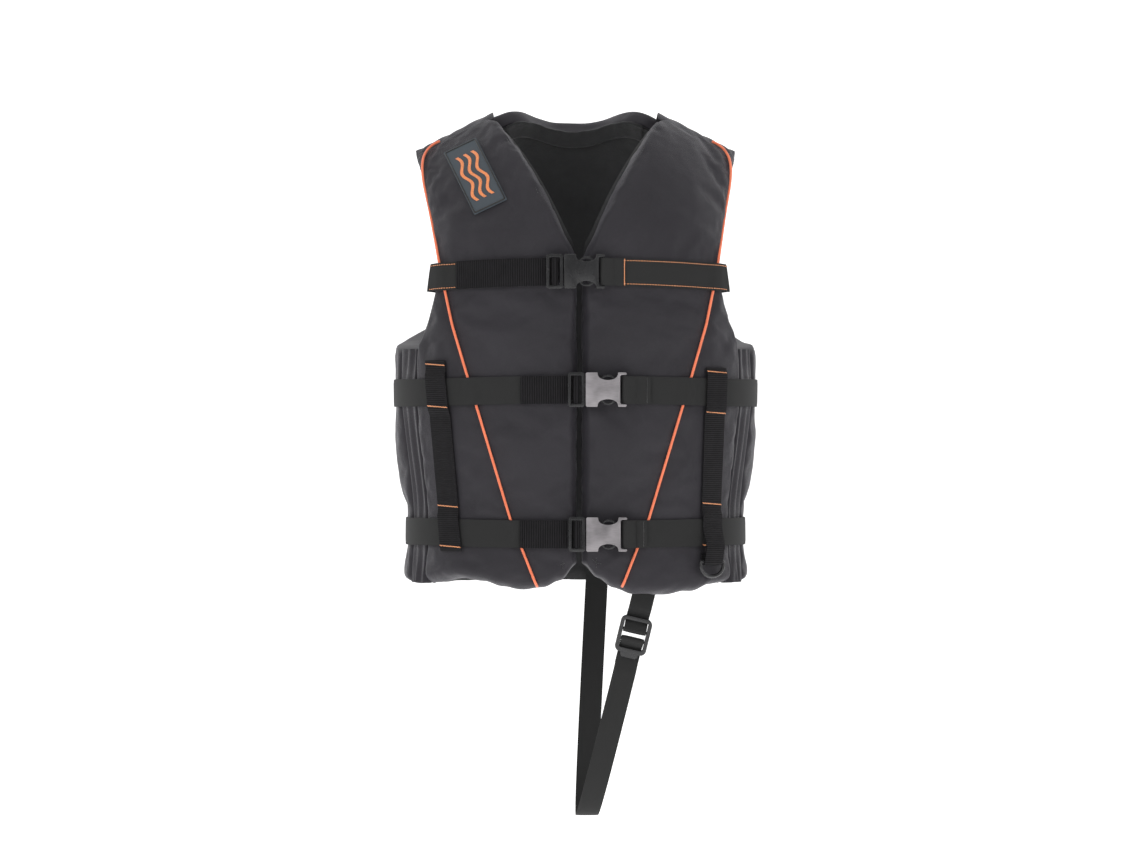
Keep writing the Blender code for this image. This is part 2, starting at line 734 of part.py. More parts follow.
def make_upright_webbing(finishes):
    cloth = finishes["webbing"]
    wrapped_slab("upright_webbing_right", cloth, 3, 26, upright_place("right"))
    ring = ring_frame()
    (top_x, top_z), (low_x, low_z) = VERTICAL_WEB["left"]
    path = []
    count = 24
    stop_z = RING_BAR_Z + 0.010
    for i in range(count + 1):
        z = mix(top_z, stop_z, i / count)
        x = mix(top_x, low_x, (z - top_z) / (low_z - top_z))
        lift = over_belts(z) + WEB / 2.0
        if i == count:
            lift = RING_LIFT + RING_R + CLEARANCE + WEB / 2.0
        half = ring.col[0].to_3d() * WEB_NARROW / 2.0
        path.append((at_front(x, z, -lift), half))
    radius = RING_R + 0.0004 + WEB / 2.0
    origin = ring.translation
    up, out = Vector((0.0, 0.0, 1.0)), -ring.col[1].to_3d()
    for i in range(9):
        a = radians(mix(0.0, -180.0, i / 8))
        path.append((origin + (out * cos(a) + up * sin(a)) * radius, half))
    path.append((origin - out * radius + up * 0.010, half))
    strip("upright_webbing_left", cloth, path, WEB)


def ring_frame():
    """Frame of the D ring's bar: x along the bar, y into the body, z up."""
    (top_x, top_z), (low_x, low_z) = VERTICAL_WEB["left"]
    x = mix(top_x, low_x, (RING_BAR_Z - top_z) / (low_z - top_z))
    angle = angle_at(x, RING_BAR_Z)
    out = outward(angle, fall_at(angle, RING_BAR_Z))
    out.z = 0.0
    out.normalize()
    along_bar = Vector((-out.y, out.x, 0.0))
    origin = at_front(x, RING_BAR_Z, 0.0) + out * RING_LIFT
    frame = Matrix((along_bar, -out, Vector((0.0, 0.0, 1.0)))).transposed().to_4x4()
    frame.translation = origin
    return frame


def make_ring(finishes):
    """Closed D of round bar: straight bar on top, a bow below."""
    frame = ring_frame()
    half = RING_HALF_WIDTH - RING_R
    bow = RING_BAR_Z - RING_LOW_Z - RING_R - RING_SHOULDER
    turns = [radians(180.0 * i / 12) for i in range(13)]
    line = [(-half + RING_CORNER, 0.0), (half - RING_CORNER, 0.0), (half, -1.5 * RING_CORNER)]
    line += [(half * cos(a), -RING_SHOULDER - bow * sin(a)) for a in turns]
    line += [(-half, -1.5 * RING_CORNER)]
    curve = bpy.data.curves.new("d_ring", "CURVE")
    curve.dimensions = "3D"
    curve.bevel_depth = RING_R
    curve.bevel_resolution = 2
    spline = curve.splines.new("POLY")
    spline.points.add(len(line) - 1)
    for point, (x, z) in zip(spline.points, line):
        point.co = (x, 0.0, z, 1.0)
    spline.use_cyclic_u = True
    curve.materials.append(finishes["plastic"])
    ring = bpy.data.objects.new("d_ring", curve)
    bpy.context.collection.objects.link(ring)
    ring.matrix_world = frame


# ---------------------------------------------------------------- buckles
def buckle_origin(belt):
    front = surface(0.0, fall_at(0.0, BELT_Z[belt])).y
    return Vector((BUCKLE_X[belt], front - BUCKLE_LIFT, BELT_Z[belt]))


def socket_outline():
    left, right = SOCKET_X
    low, high = WINDOW_X
    top = SOCKET_HALF_Z
    middle = (low + high) / 2.0
    reach = (high - low) / 2.0
    bite = top - WINDOW_HALF_Z
    cut = [(middle - reach * cos(radians(t)), top - bite * sin(radians(t)) ** 0.7)
           for t in range(0, 181, 20)]
    upper = [(left, top - 0.0015), (left + 0.0015, top)] + cut[:-1] + [(high, top)]
    ear = [(EAR_X - 0.0012, top), (EAR_X, top - 0.0012), (EAR_X, EAR_Z), (right, EAR_Z - 0.0006)]
    half = upper + ear
    return half + [(x, -z) for x, z in reversed(half)]


def make_socket(belt, finishes):
    name = belt + "_buckle_socket"
    body = finish_mesh(name, outline_prism(socket_outline(), SOCKET_HALF_Y), finishes["plastic"])
    low = (SOCKET_X[0] - 0.004, -SOCKET_HALF_Y + SOCKET_WALL, -CAVITY_HALF_Z)
    high = (SOCKET_X[1] - 0.0030, SOCKET_HALF_Y - SOCKET_WALL, CAVITY_HALF_Z)
    combine(body, helper(name + "_cavity", box_mesh(low, high)), "DIFFERENCE")
    bar = rod_mesh(SOCKET_BAR_R, 2.0 * EAR_Z + 0.004, "z", (SOCKET_BAR_X, 0.0, 0.0), 10)
    combine(body, helper(name + "_bar", bar), "UNION")
    body.location = buckle_origin(belt)


def make_male(belt, finishes):
    name = belt + "_buckle_male"
    low, high = FRAME_X
    middle = ((low + high) / 2.0, 0.0)
    half_x = (high - low) / 2.0
    outline = rounded_box(half_x, FRAME_HALF_Z, 0.003, 3, middle)
    body = finish_mesh(name, outline_prism(outline, FRAME_HALF_Y), finishes["plastic"])
    window_low = (low + FRAME_BAR, -0.02, -FRAME_HALF_Z + FRAME_BAR)
    window_high = (high - FRAME_BAR, 0.02, FRAME_HALF_Z - FRAME_BAR)
    combine(body, helper(name + "_window", box_mesh(window_low, window_high)), "DIFFERENCE")
    bar_length = 2.0 * (FRAME_HALF_Z - FRAME_BAR) + 0.003
    bar = rod_mesh(CENTRE_BAR_R, bar_length, "z", (CENTRE_BAR_X, 0.0, 0.0), 10)
    combine(body, helper(name + "_bar", bar), "UNION")
    tongue_low = (high - 0.001, -PRONG_HALF_Y, -TONGUE_HALF_Z)
    tongue_high = (TONGUE_X, PRONG_HALF_Y, TONGUE_HALF_Z)
    combine(body, helper(name + "_tongue", box_mesh(tongue_low, tongue_high)), "UNION")
    body.location = buckle_origin(belt)


def make_prong(belt, side, finishes):
    """Springy arm with its release eye, origin on the line that it bends about."""
    name = "%s_buckle_prong_%s" % (belt, "upper" if side > 0 else "lower")
    px, pz = PRONG_PIVOT
    outline = [(x - px, side * (z - pz)) for x, z in PRONG_OUTLINE]
    body = finish_mesh(name, outline_prism(outline, PRONG_HALF_Y), finishes["plastic"])
    (ex, ez), (half_x, half_z) = RELEASE_EYE
    eye = rod_mesh(1.0, 0.02, "y", (0.0, 0.0, 0.0), 12)
    bmesh.ops.scale(eye, verts=eye.verts, vec=(half_x, 1.0, half_z))
    bmesh.ops.translate(eye, verts=eye.verts, vec=(ex - px, 0.0, side * (ez - pz)))
    combine(body, helper(name + "_eye", eye), "DIFFERENCE")
    body.location = buckle_origin(belt) + Vector((px, 0.0, side * pz))


# ---------------------------------------------------------------- crotch strap
def strap_point(share):
    """Middle line of the hanging loop, 0 at the front hem, 1 at the back hem."""
    swing = 2.0 * share - 1.0
    end = STRAP_BACK if swing > 0.0 else STRAP_FRONT
    reach = asinh(abs(swing) * sinh(STRAP_GROW)) / STRAP_GROW
    rise = (cosh(STRAP_GROW * reach) - 1.0) / (cosh(STRAP_GROW) - 1.0)
    x = mix(STRAP_LOW.x, end.x, rise)
    return Vector((x, mix(STRAP_LOW.y, end.y, reach), mix(STRAP_LOW.z, end.z, rise)))


def strap_frame(share):
    """Point, direction down the strap, and sideways direction of the loop."""
    after, before = strap_point(min(share + 0.002, 1.0)), strap_point(max(share - 0.002, 0.0))
    ahead = (after - before).normalized()
    side = Vector((1.0, 0.0, 0.0))
    side = (side - ahead * side.dot(ahead)).normalized()
    return strap_point(share), ahead, side


def lock_share():
    """Share of the loop at which the adjuster's middle lies."""
    low, high = 0.0, 0.5
    for _ in range(40):
        middle = (low + high) / 2.0
        if strap_point(middle).z > LOCK_CENTRE_Z:
            low = middle
        else:
            high = middle
    return middle


def lock_frame():
    """x sideways, y into the body, z up along the strap."""
    point, ahead, side = strap_frame(lock_share())
    frame = Matrix((side, side.cross(ahead), -ahead)).transposed().to_4x4()
    if frame.col[1].y < 0.0:
        frame = Matrix((side, ahead.cross(side), -ahead)).transposed().to_4x4()
    frame.translation = point
    return frame


def make_lock(finishes):
    """Frame with two grip bars and a thumb lip below."""
    middle = (LOCK_TOP + LOCK_FOOT) / 2.0
    outline = rounded_box(LOCK_HALF_WIDTH, (LOCK_TOP - LOCK_FOOT) / 2.0, 0.006, 4, (0.0, middle))
    body = finish_mesh("ladder_lock", outline_prism(outline, LOCK_HALF_THICK), finishes["plastic"])
    inner = LOCK_HALF_WIDTH - LOCK_SIDE
    low, high = LOCK_WINDOW
    window = helper("lock_window", box_mesh((-inner, -0.02, low), (inner, 0.02, high)))
    combine(body, window, "DIFFERENCE")
    for name, height in LOCK_BARS.items():
        bar = rod_mesh(LOCK_BAR_R, 2.0 * inner + 0.003, "x", (0.0, 0.0, height), 10)
        combine(body, helper("lock_bar_" + name, bar), "UNION")
    root = LOCK_FOOT + 0.002
    lip = ((-0.0105, root), (-0.0070, LOCK_LIP), (0.0070, LOCK_LIP), (0.0105, root))
    combine(body, helper("lock_lip", outline_prism(lip, LOCK_HALF_THICK - 0.0004)), "UNION")
    frame = lock_frame()
    body.data.transform(Matrix.Translation((0.0, 0.0, -LOCK_HINGE)))
    for tool in body.children:
        tool.data.transform(Matrix.Translation((0.0, 0.0, -LOCK_HINGE)))
    body.matrix_world = frame @ Matrix.Translation((0.0, 0.0, LOCK_HINGE))


def lock_path(points):
    """Strip poses in the adjuster's frame: (out of the face, up the strap)."""
    frame = lock_frame()
    half = frame.col[0].to_3d() * WEB_NARROW / 2.0
    return [(frame @ Vector((0.0, -out, up)), half) for out, up in points]


def bar_turn(bar, start, end, count=10):
    """Turn round one of the adjuster's bars, angles in degrees with 0 in front and 90 on top."""
    radius = LOCK_BAR_R + CLEARANCE + WEB / 2.0
    turns = [radians(mix(start, end, i / count)) for i in range(count + 1)]
    return [(radius * cos(a), LOCK_BARS[bar] + radius * sin(a)) for a in turns]


def make_strap(finishes):
    """Short sewn webbing, the adjuster, and the long strap that loops back to the back hem."""
    cloth = finishes["webbing"]
    share = lock_share()
    path = []
    for i in range(5):
        point, _, side = strap_frame(share * TAB_SHARE * i / 4)
        path.append((point, side * WEB_NARROW / 2.0))
    path += lock_path(list(TAB_PASS) + bar_turn("upper", 40, -190))
    strip("crotch_tab", cloth, path, WEB)
    grip = list(GRIP_PASS) + bar_turn("lower", -45, 185) + list(GRIP_BACK)
    strip("crotch_strap_grip", cloth, lock_path(grip), WEB)
    count = 34
    path = []
    for i in range(count + 1):
        point, _, side = strap_frame(mix(share + STRAP_START, 1.0, i / count))
        path.append((point, side * WEB_NARROW / 2.0))
    strip("crotch_strap", cloth, path, WEB)


# ---------------------------------------------------------------- trim
def make_piping(finishes):
    spots = [PIPING_LINE[0]]
    for (high, value), (low, following) in zip(PIPING_LINE, PIPING_LINE[1:]):
        count = max(1, round(hypot(high - low, following - value) / PIPING_STEP))
        shares = [(i + 1) / count for i in range(count)]
        spots += [(mix(high, low, share), mix(value, following, share)) for share in shares]
    for side, name in ((1.0, "piping_left"), (-1.0, "piping_right")):
        curve = bpy.data.curves.new(name, "CURVE")
        curve.dimensions = "3D"
        curve.bevel_depth = PIPING_R
        curve.bevel_resolution = 1
        curve.use_fill_caps = True
        spline = curve.splines.new("POLY")
        spline.points.add(len(spots) - 1)
        for point, (z, x) in zip(spline.points, spots):
            place = at_front(x, z, -(PIPING_R + 0.0006))
            point.co = (side * place.x, place.y, place.z, 1.0)
        curve.materials.append(finishes["piping"])
        item = bpy.data.objects.new(name, curve)
        bpy.context.collection.objects.link(item)


def make_patch(finishes):
    def place(across, down, inward):
        right = Vector((cos(PATCH_TILT), sin(PATCH_TILT)))
        along_patch = Vector((sin(PATCH_TILT), -cos(PATCH_TILT)))
        spot = Vector(PATCH_CENTRE)
        spot += right * (across - 0.5) * PATCH_SIZE[0] + along_patch * (down - 0.5) * PATCH_SIZE[1]
        return at_front(spot.x, spot.y, -0.0012 - PATCH_THICK * (1.0 - inward))

    wrapped_slab("shoulder_patch", finishes["rubber"], 4, 6, place)


def main():
    for item in list(bpy.data.objects):
        bpy.data.objects.remove(item, do_unlink=True)
    finishes = make_finishes()
    make_panels(finishes)
    make_gussets(finishes)
    make_yokes(finishes)
    make_collar_facing(finishes)
    make_belts(finishes)
    make_tails(finishes)
    make_upright_webbing(finishes)
    make_ring(finishes)
    for belt in BELT_Z:
        make_socket(belt, finishes)
        make_male(belt, finishes)
        make_prong(belt, 1, finishes)
        make_prong(belt, -1, finishes)
    make_lock(finishes)
    make_strap(finishes)
    make_piping(finishes)
    make_patch(finishes)


main()
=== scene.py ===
"""Looks of a foam buoyancy vest: padded panels, webbing, buckles, piping and stitching.

Metres, +Z up. The front faces -Y and the wearer's left side is +X.
"""

from math import asinh, cos, cosh, pi, radians, sin, sinh, tau

import bmesh
import bpy
import numpy as np
from bpy.props import FloatProperty, FloatVectorProperty, IntProperty, PointerProperty
from mathutils import Matrix, Vector, noise


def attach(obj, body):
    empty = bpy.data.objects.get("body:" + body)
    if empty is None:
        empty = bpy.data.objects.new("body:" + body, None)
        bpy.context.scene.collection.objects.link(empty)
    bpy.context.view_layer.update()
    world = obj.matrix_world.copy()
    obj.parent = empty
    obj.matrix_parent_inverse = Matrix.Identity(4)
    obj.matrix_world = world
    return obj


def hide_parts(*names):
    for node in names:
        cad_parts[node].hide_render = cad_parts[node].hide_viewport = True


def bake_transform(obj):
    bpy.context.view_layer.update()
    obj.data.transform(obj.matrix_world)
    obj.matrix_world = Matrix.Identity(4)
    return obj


bl_info = {
    "name": "Buoyancy Vest Looks",
    "version": (1, 0, 0),
    "blender": (4, 5, 0),
    "location": "3D View > Sidebar > Vest",
    "description": "Builds the cloth, webbing, buckles and stitching of a foam buoyancy vest",
    "category": "Object",
}

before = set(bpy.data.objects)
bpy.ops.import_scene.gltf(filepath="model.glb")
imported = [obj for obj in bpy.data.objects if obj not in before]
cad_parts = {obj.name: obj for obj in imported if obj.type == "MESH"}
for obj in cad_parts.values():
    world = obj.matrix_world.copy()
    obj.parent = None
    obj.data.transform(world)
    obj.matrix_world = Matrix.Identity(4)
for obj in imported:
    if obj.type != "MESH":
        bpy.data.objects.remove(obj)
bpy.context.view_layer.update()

# ---------------------------------------------------------------- the body form
PLAN_POWER = 2.5            # squareness of the torso in plan
ARCH_POWER = 1.8            # roundness of the shoulder arch in side view
ARCH_HEIGHT = 0.190
RIDGE_CENTRE = 0.072
RIDGE_SLOPE = 0.517
RIDGE_ROUND = 0.025
HALF_WIDTHS = ((-0.500, 0.189), (-0.441, 0.185), (-0.285, 0.199), (-0.180, 0.197))
HALF_DEPTHS = ((-0.500, 0.136), (-0.441, 0.138), (-0.285, 0.150), (-0.180, 0.151))
PAD_AT_RIDGE = 0.6
PAD_FALL = 0.120

NECK_INNER = 0.089
SHOULDER_OUTER = 0.180
NECK_APEX_Z = -0.138
NECK_APEX_X = 0.006
FRONT_EDGE_X = 0.003
ARMHOLE_WAIST = (0.1565, -0.150)
ARMHOLE_CURVES = (1.15, 1.60)
ARMHOLE_LOW_X = 0.1795
SIDE_TOP_Z = -0.237
FRONT_SIDE_ANGLE = radians(62.0)
BACK_SIDE_ANGLE = radians(77.5)
HEM_LINE = {                # share of the way from the middle to the side, height
    "left": (
        (0.0, -0.476), (0.05, -0.491), (0.12, -0.501), (0.22, -0.508), (0.40, -0.509),
        (0.60, -0.506), (0.80, -0.499), (1.0, -0.496),
    ),
    "right": (
        (0.0, -0.476), (0.05, -0.493), (0.12, -0.500), (0.22, -0.503), (0.36, -0.500),
        (0.48, -0.495), (0.65, -0.492), (1.0, -0.496),
    ),
}
BACK_NECK_Z = 0.018
BACK_HEM = -0.498
KNOT_ROWS = (0.0, 5.0, 9.0, 15.0)
ROWS = 15.0
RIDGE_EASE = 1.45
SEAM_FALL = 0.004

BELT_Z = {"top": -0.158, "middle": -0.286, "bottom": -0.443}
BELT_DROP = {"top": 0.006, "middle": 0.003, "bottom": -0.002}
BUCKLE_X = {"top": -0.0235, "middle": 0.0, "bottom": 0.001}
TAIL_END_X = {"top": -0.132, "middle": -0.064, "bottom": -0.064}
FOLD_END_X = {"top": 0.047, "middle": 0.076, "bottom": 0.072}
UPRIGHTS = {
    "left": ((0.1485, -0.262), (0.1420, -0.470)),
    "right": ((-0.1557, -0.254), (-0.1368, -0.462)),
}
WEB_WIDTH = 0.030
WEB_NARROW = 0.025
WEB_UPRIGHT = 0.0275
WEB = 0.0016
WEB_LIFT = 0.0011
UNDER = WEB_LIFT + WEB / 2.0
OVER = WEB_LIFT + 1.5 * WEB + 0.0006
CLEARANCE = 0.0003
PIPING_R = 0.0015
PIPING_LINE = (
    (-0.0115, 0.1500), (-0.0150, 0.1575), (-0.0210, 0.1640), (-0.0300, 0.1685),
    (-0.0440, 0.1700), (-0.0605, 0.1692), (-0.0825, 0.1658), (-0.1045, 0.1612),
    (-0.1265, 0.1562), (-0.1430, 0.1530), (-0.2150, 0.1380), (-0.2700, 0.1220),
    (-0.4270, 0.0750), (-0.5000, 0.0465),
)
PATCH_CENTRE = (-0.1120, -0.0530)
PATCH_SIZE = (0.0390, 0.0770)
PATCH_TILT = radians(25.0)


def ease(value):
    value = np.clip(value, 0.0, 1.0)
    return value * value * (3.0 - 2.0 * value)


def mix(start, end, share):
    return start + (end - start) * share


def through(stations, position):
    """Smooth value through a short rising list of (position, value)."""
    value = np.full_like(position, stations[0][1])
    for (low, start), (high, end) in zip(stations, stations[1:]):
        value = np.where(position > low, mix(start, end, ease((position - low) / (high - low))), value)
    return value


def along(stations, position):
    """Straight-line value through a falling list of (position, value)."""
    places = [spot for spot, _ in reversed(stations)]
    return np.interp(position, places, [value for _, value in reversed(stations)])


def signed_power(value, power):
    return np.sign(value) * np.abs(value) ** power


def ridge(x):
    return RIDGE_CENTRE - RIDGE_SLOPE * np.hypot(x, RIDGE_ROUND)


def arch(fall):
    rest = np.clip(1.0 - fall / ARCH_HEIGHT, 0.0, 1.0)
    return (1.0 - rest ** ARCH_POWER) ** (1.0 / ARCH_POWER)


def surface(angle, fall):
    """Outer form: angle 0 is the front middle, a quarter turn the wearer's left side."""
    angle, fall = np.broadcast_arrays(np.asarray(angle, float), np.asarray(fall, float))
    plan_x = signed_power(np.sin(angle), 2.0 / PLAN_POWER)
    half_width = np.full_like(plan_x, HALF_WIDTHS[-1][1])
    for _ in range(4):
        x = half_width * plan_x
        z = ridge(x) - fall
        half_width = through(HALF_WIDTHS, z)
    y = -through(HALF_DEPTHS, z) * signed_power(np.cos(angle), 2.0 / PLAN_POWER) * arch(fall)
    return np.stack([x, y, z], axis=-1)


def outward(angle, fall):
    step = 0.002
    across = surface(angle + step, fall) - surface(angle - step, fall)
    down = surface(angle, fall + step) - surface(angle, np.maximum(fall - step, 0.0))
    normal = np.cross(down, across)
    return normal / np.linalg.norm(normal, axis=-1, keepdims=True)


def on_form(angle, fall, depth):
    """Points at a depth under the form; below it the padding thins towards the ridge."""
    share = np.where(np.asarray(depth) > 0.0, mix(PAD_AT_RIDGE, 1.0, ease(fall / PAD_FALL)), 1.0)
    return surface(angle, fall) - outward(angle, fall) * (depth * share)[..., None]


def angle_at(x, z, front=True):
    share = np.clip(np.abs(x) / through(HALF_WIDTHS, np.asarray(z, float)), 0.0, 1.0)
    angle = np.arcsin(share ** (PLAN_POWER / 2.0))
    return np.where(np.asarray(x) >= 0.0, 1.0, -1.0) * (angle if front else pi - angle)


def x_on_form(angle, z):
    return through(HALF_WIDTHS, np.asarray(z, float)) * signed_power(np.sin(angle), 2.0 / PLAN_POWER)


def at_height(angle, z, depth):
    fall = np.maximum(ridge(x_on_form(angle, z)) - z, 0.0)
    return on_form(angle, fall, np.asarray(depth, float))


def at_front(x, z, depth):
    return at_height(angle_at(x, z), np.asarray(z, float), depth)


def normal_at_front(x, z):
    angle = angle_at(x, z)
    return outward(angle, np.maximum(ridge(x_on_form(angle, z)) - z, 0.0))


# ---------------------------------------------------------------- pattern pieces
def row_level(levels, down):
    """Height at a share of the way down, through four levels that sit on the knot rows."""
    row = np.clip(down, 0.0, 1.0) * ROWS
    first = np.clip(row / KNOT_ROWS[1], 0.0, 1.0) ** RIDGE_EASE
    level = mix(levels[0], levels[1], first)
    for i in (1, 2):
        share = np.clip((row - KNOT_ROWS[i]) / (KNOT_ROWS[i + 1] - KNOT_ROWS[i]), 0.0, 1.0)
        level = np.where(row > KNOT_ROWS[i], mix(levels[i], levels[i + 1], share), level)
    return level


def ridge_share(down):
    return 1.0 - np.clip(down * ROWS / KNOT_ROWS[1], 0.0, 1.0) ** RIDGE_EASE


def neck_x(z):
    top = ridge(NECK_INNER) - SEAM_FALL - NECK_APEX_Z
    return np.maximum(FRONT_EDGE_X, NECK_APEX_X + (z - NECK_APEX_Z) * (NECK_INNER - NECK_APEX_X) / top)


def armhole_x(z):
    waist_x, waist_z = ARMHOLE_WAIST
    below = z < waist_z
    edge = np.where(below, ARMHOLE_LOW_X, SHOULDER_OUTER)
    level = np.where(below, SIDE_TOP_Z, ridge(SHOULDER_OUTER))
    curve = np.where(below, ARMHOLE_CURVES[1], ARMHOLE_CURVES[0])
    return waist_x + (edge - waist_x) * np.maximum((z - waist_z) / (level - waist_z), 0.0) ** curve


def front_seat(across, down, side=1.0):
    """Angle round the body and height of a place on a front panel's pattern."""
    hem = HEM_LINE["left" if side > 0.0 else "right"]
    centre_hem, side_hem = hem[0][1], hem[-1][1]
    inner_levels = (ridge(NECK_INNER) - SEAM_FALL, NECK_APEX_Z, SIDE_TOP_Z, centre_hem)
    outer_levels = (ridge(SHOULDER_OUTER) - SEAM_FALL, -0.150, SIDE_TOP_Z, side_hem)
    inner_z, outer_z = row_level(inner_levels, down), row_level(outer_levels, down)
    inner = angle_at(neck_x(inner_z), inner_z)
    outer = np.where(outer_z > SIDE_TOP_Z, angle_at(armhole_x(outer_z), outer_z), FRONT_SIDE_ANGLE)
    angle = mix(inner, outer, across)
    z = mix(inner_z, outer_z, across)
    straight = mix(inner_levels[0], outer_levels[0], across)
    z = z + (ridge(x_on_form(angle, z)) - SEAM_FALL - straight) * ridge_share(down)
    low = np.clip((down * ROWS - KNOT_ROWS[2]) / (ROWS - KNOT_ROWS[2]), 0.0, 1.0) ** 2
    drop = mix(centre_hem, side_hem, across) - through(hem, across)
    corner = 0.0065 * np.exp(-((across / 0.05) ** 2)) * ridge_share(down)
    return angle, z - drop * low - corner


def right_seat(across, down):
    return front_seat(across, down, -1.0)


def back_edge_angle(z):
    arm = angle_at(armhole_x(z) - 0.006, np.maximum(z, -0.20), front=False)
    share = np.clip((z - SIDE_TOP_Z) / 0.024, 0.0, 1.0) ** 0.42
    return np.where(z < SIDE_TOP_Z, BACK_SIDE_ANGLE, mix(BACK_SIDE_ANGLE, arm, share))


def back_seat(across, down):
    levels = (ridge(SHOULDER_OUTER) - SEAM_FALL, -0.150, SIDE_TOP_Z, BACK_HEM)
    z = row_level(levels, down)
    edge = back_edge_angle(z)
    angle = mix(edge, tau - edge, across)
    x = x_on_form(angle, z)
    top = ridge(x) - SEAM_FALL
    neck = mix(BACK_NECK_Z, top, ease(np.abs(x) / NECK_INNER) ** 2)
    top = np.where(np.abs(x) < NECK_INNER, neck, top)
    return angle, z + (top - levels[0]) * ridge_share(down)


# ---------------------------------------------------------------- mesh helpers
def coordinates(mesh_like):
    return np.array([vert.co for vert in mesh_like], float).reshape(-1, 3)


def flat_slab(columns, rows, walls=0):
    """A slab whose x and y run 0 to 1 across the piece; z is 0 outside and 1 inside."""
    bm = bmesh.new()
    bmesh.ops.create_grid(bm, x_segments=columns, y_segments=rows, size=0.5)
    bmesh.ops.translate(bm, verts=bm.verts, vec=(0.5, 0.5, 0.0))
    grown = bmesh.ops.extrude_face_region(bm, geom=bm.faces[:], use_keep_orig=True)
    moved = [item for item in grown["geom"] if isinstance(item, bmesh.types.BMVert)]
    bmesh.ops.translate(bm, verts=moved, vec=(0.0, 0.0, 1.0))
    if walls:
        upright = [e for e in bm.edges if abs(e.verts[0].co.z - e.verts[1].co.z) > 0.5]
        bmesh.ops.subdivide_edges(bm, edges=upright, cuts=walls, use_grid_fill=True)
    return bm


def store_cloth_map(bm, width, length):
    """Cloth coordinates in metres, taken from the flat pattern."""
    layer = bm.loops.layers.uv.new("cloth")
    for face in bm.faces:
        for loop in face.loops:
            loop[layer].uv = (loop.vert.co.x * width, loop.vert.co.y * length)


def move_to(bm, points):
    for vert, point in zip(bm.verts, points):
        vert.co = point


def face_outwards(bm):
    bmesh.ops.recalc_face_normals(bm, faces=bm.faces)
    if bm.calc_volume(signed=True) < 0.0:
        bmesh.ops.reverse_faces(bm, faces=bm.faces)


def finished(name, bm, material, body="vest", stands_for=(), slot="", angle=None):
    """Turn a bmesh into a piece that rides on a body."""
    face_outwards(bm)
    mesh = bpy.data.meshes.new(name)
    bm.to_mesh(mesh)
    bm.free()
    mesh.materials.append(material)
    mesh.shade_smooth()
    if angle:
        mesh.set_sharp_from_angle(angle=radians(angle))
    item = bpy.data.objects.new(name, mesh)
    bpy.context.scene.collection.objects.link(item)
    if body:
        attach(item, body)
    if stands_for:
        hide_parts(*stands_for)
    return item


def add_subdivision(item, levels=1):
    step = item.modifiers.new("smooth", "SUBSURF")
    step.levels = levels
    step.render_levels = levels
    step.boundary_smooth = "PRESERVE_CORNERS"


def evaluated_mesh(item):
    graph = bpy.context.evaluated_depsgraph_get()
    return bpy.data.meshes.new_from_object(item.evaluated_get(graph))


# ---------------------------------------------------------------- materials
def node(tree, kind, inputs=None, **settings):
    item = tree.nodes.new(kind)
    for key, value in settings.items():
        setattr(item, key, value)
    for key, value in (inputs or {}).items():
        if isinstance(value, bpy.types.NodeSocket):
            tree.links.new(value, item.inputs[key])
        else:
            item.inputs[key].default_value = value
    return item


def new_material(name):
    material = bpy.data.materials.new(name)
    material.use_nodes = True
    tree = material.node_tree
    return material, tree, tree.nodes["Principled BSDF"]


def maths(tree, operation, first, second=0.0):
    return node(tree, "ShaderNodeMath", {0: first, 1: second}, operation=operation).outputs[0]


def ramp(tree, factor, stops):
    item = node(tree, "ShaderNodeValToRGB", {"Fac": factor})
    while len(item.color_ramp.elements) < len(stops):
        item.color_ramp.elements.new(0.5)
    for element, (position, colour) in zip(item.color_ramp.elements, stops):
        element.position = position
        element.color = (*colour, 1.0)
    return item.outputs["Color"]


def scaled(colour, factor):
    return tuple(channel * factor for channel in colour)


def noise_at(tree, vector, scale, detail=3.0, roughness=0.5):
    inputs = {"Vector": vector, "Scale": scale, "Detail": detail, "Roughness": roughness}
    return node(tree, "ShaderNodeTexNoise", inputs).outputs["Fac"]


def bump(tree, height, distance, strength=1.0, normal=None):
    inputs = {"Height": height, "Distance": distance, "Strength": strength}
    if normal is not None:
        inputs["Normal"] = normal
    return node(tree, "ShaderNodeBump", inputs).outputs["Normal"]


def link(tree, start, end):
    tree.links.new(start, end)


def cloth_weave(tree, thread):
    """Height of a plain weave whose threads lie this far apart."""
    place = node(tree, "ShaderNodeUVMap", uv_map="cloth").outputs["UV"]
    split = node(tree, "ShaderNodeSeparateXYZ", {"Vector": place})
    warp = maths(tree, "SINE", maths(tree, "MULTIPLY", split.outputs["X"], tau / thread))
    weft = maths(tree, "SINE", maths(tree, "MULTIPLY", split.outputs["Y"], tau / thread))
    return maths(tree, "MULTIPLY", warp, weft)


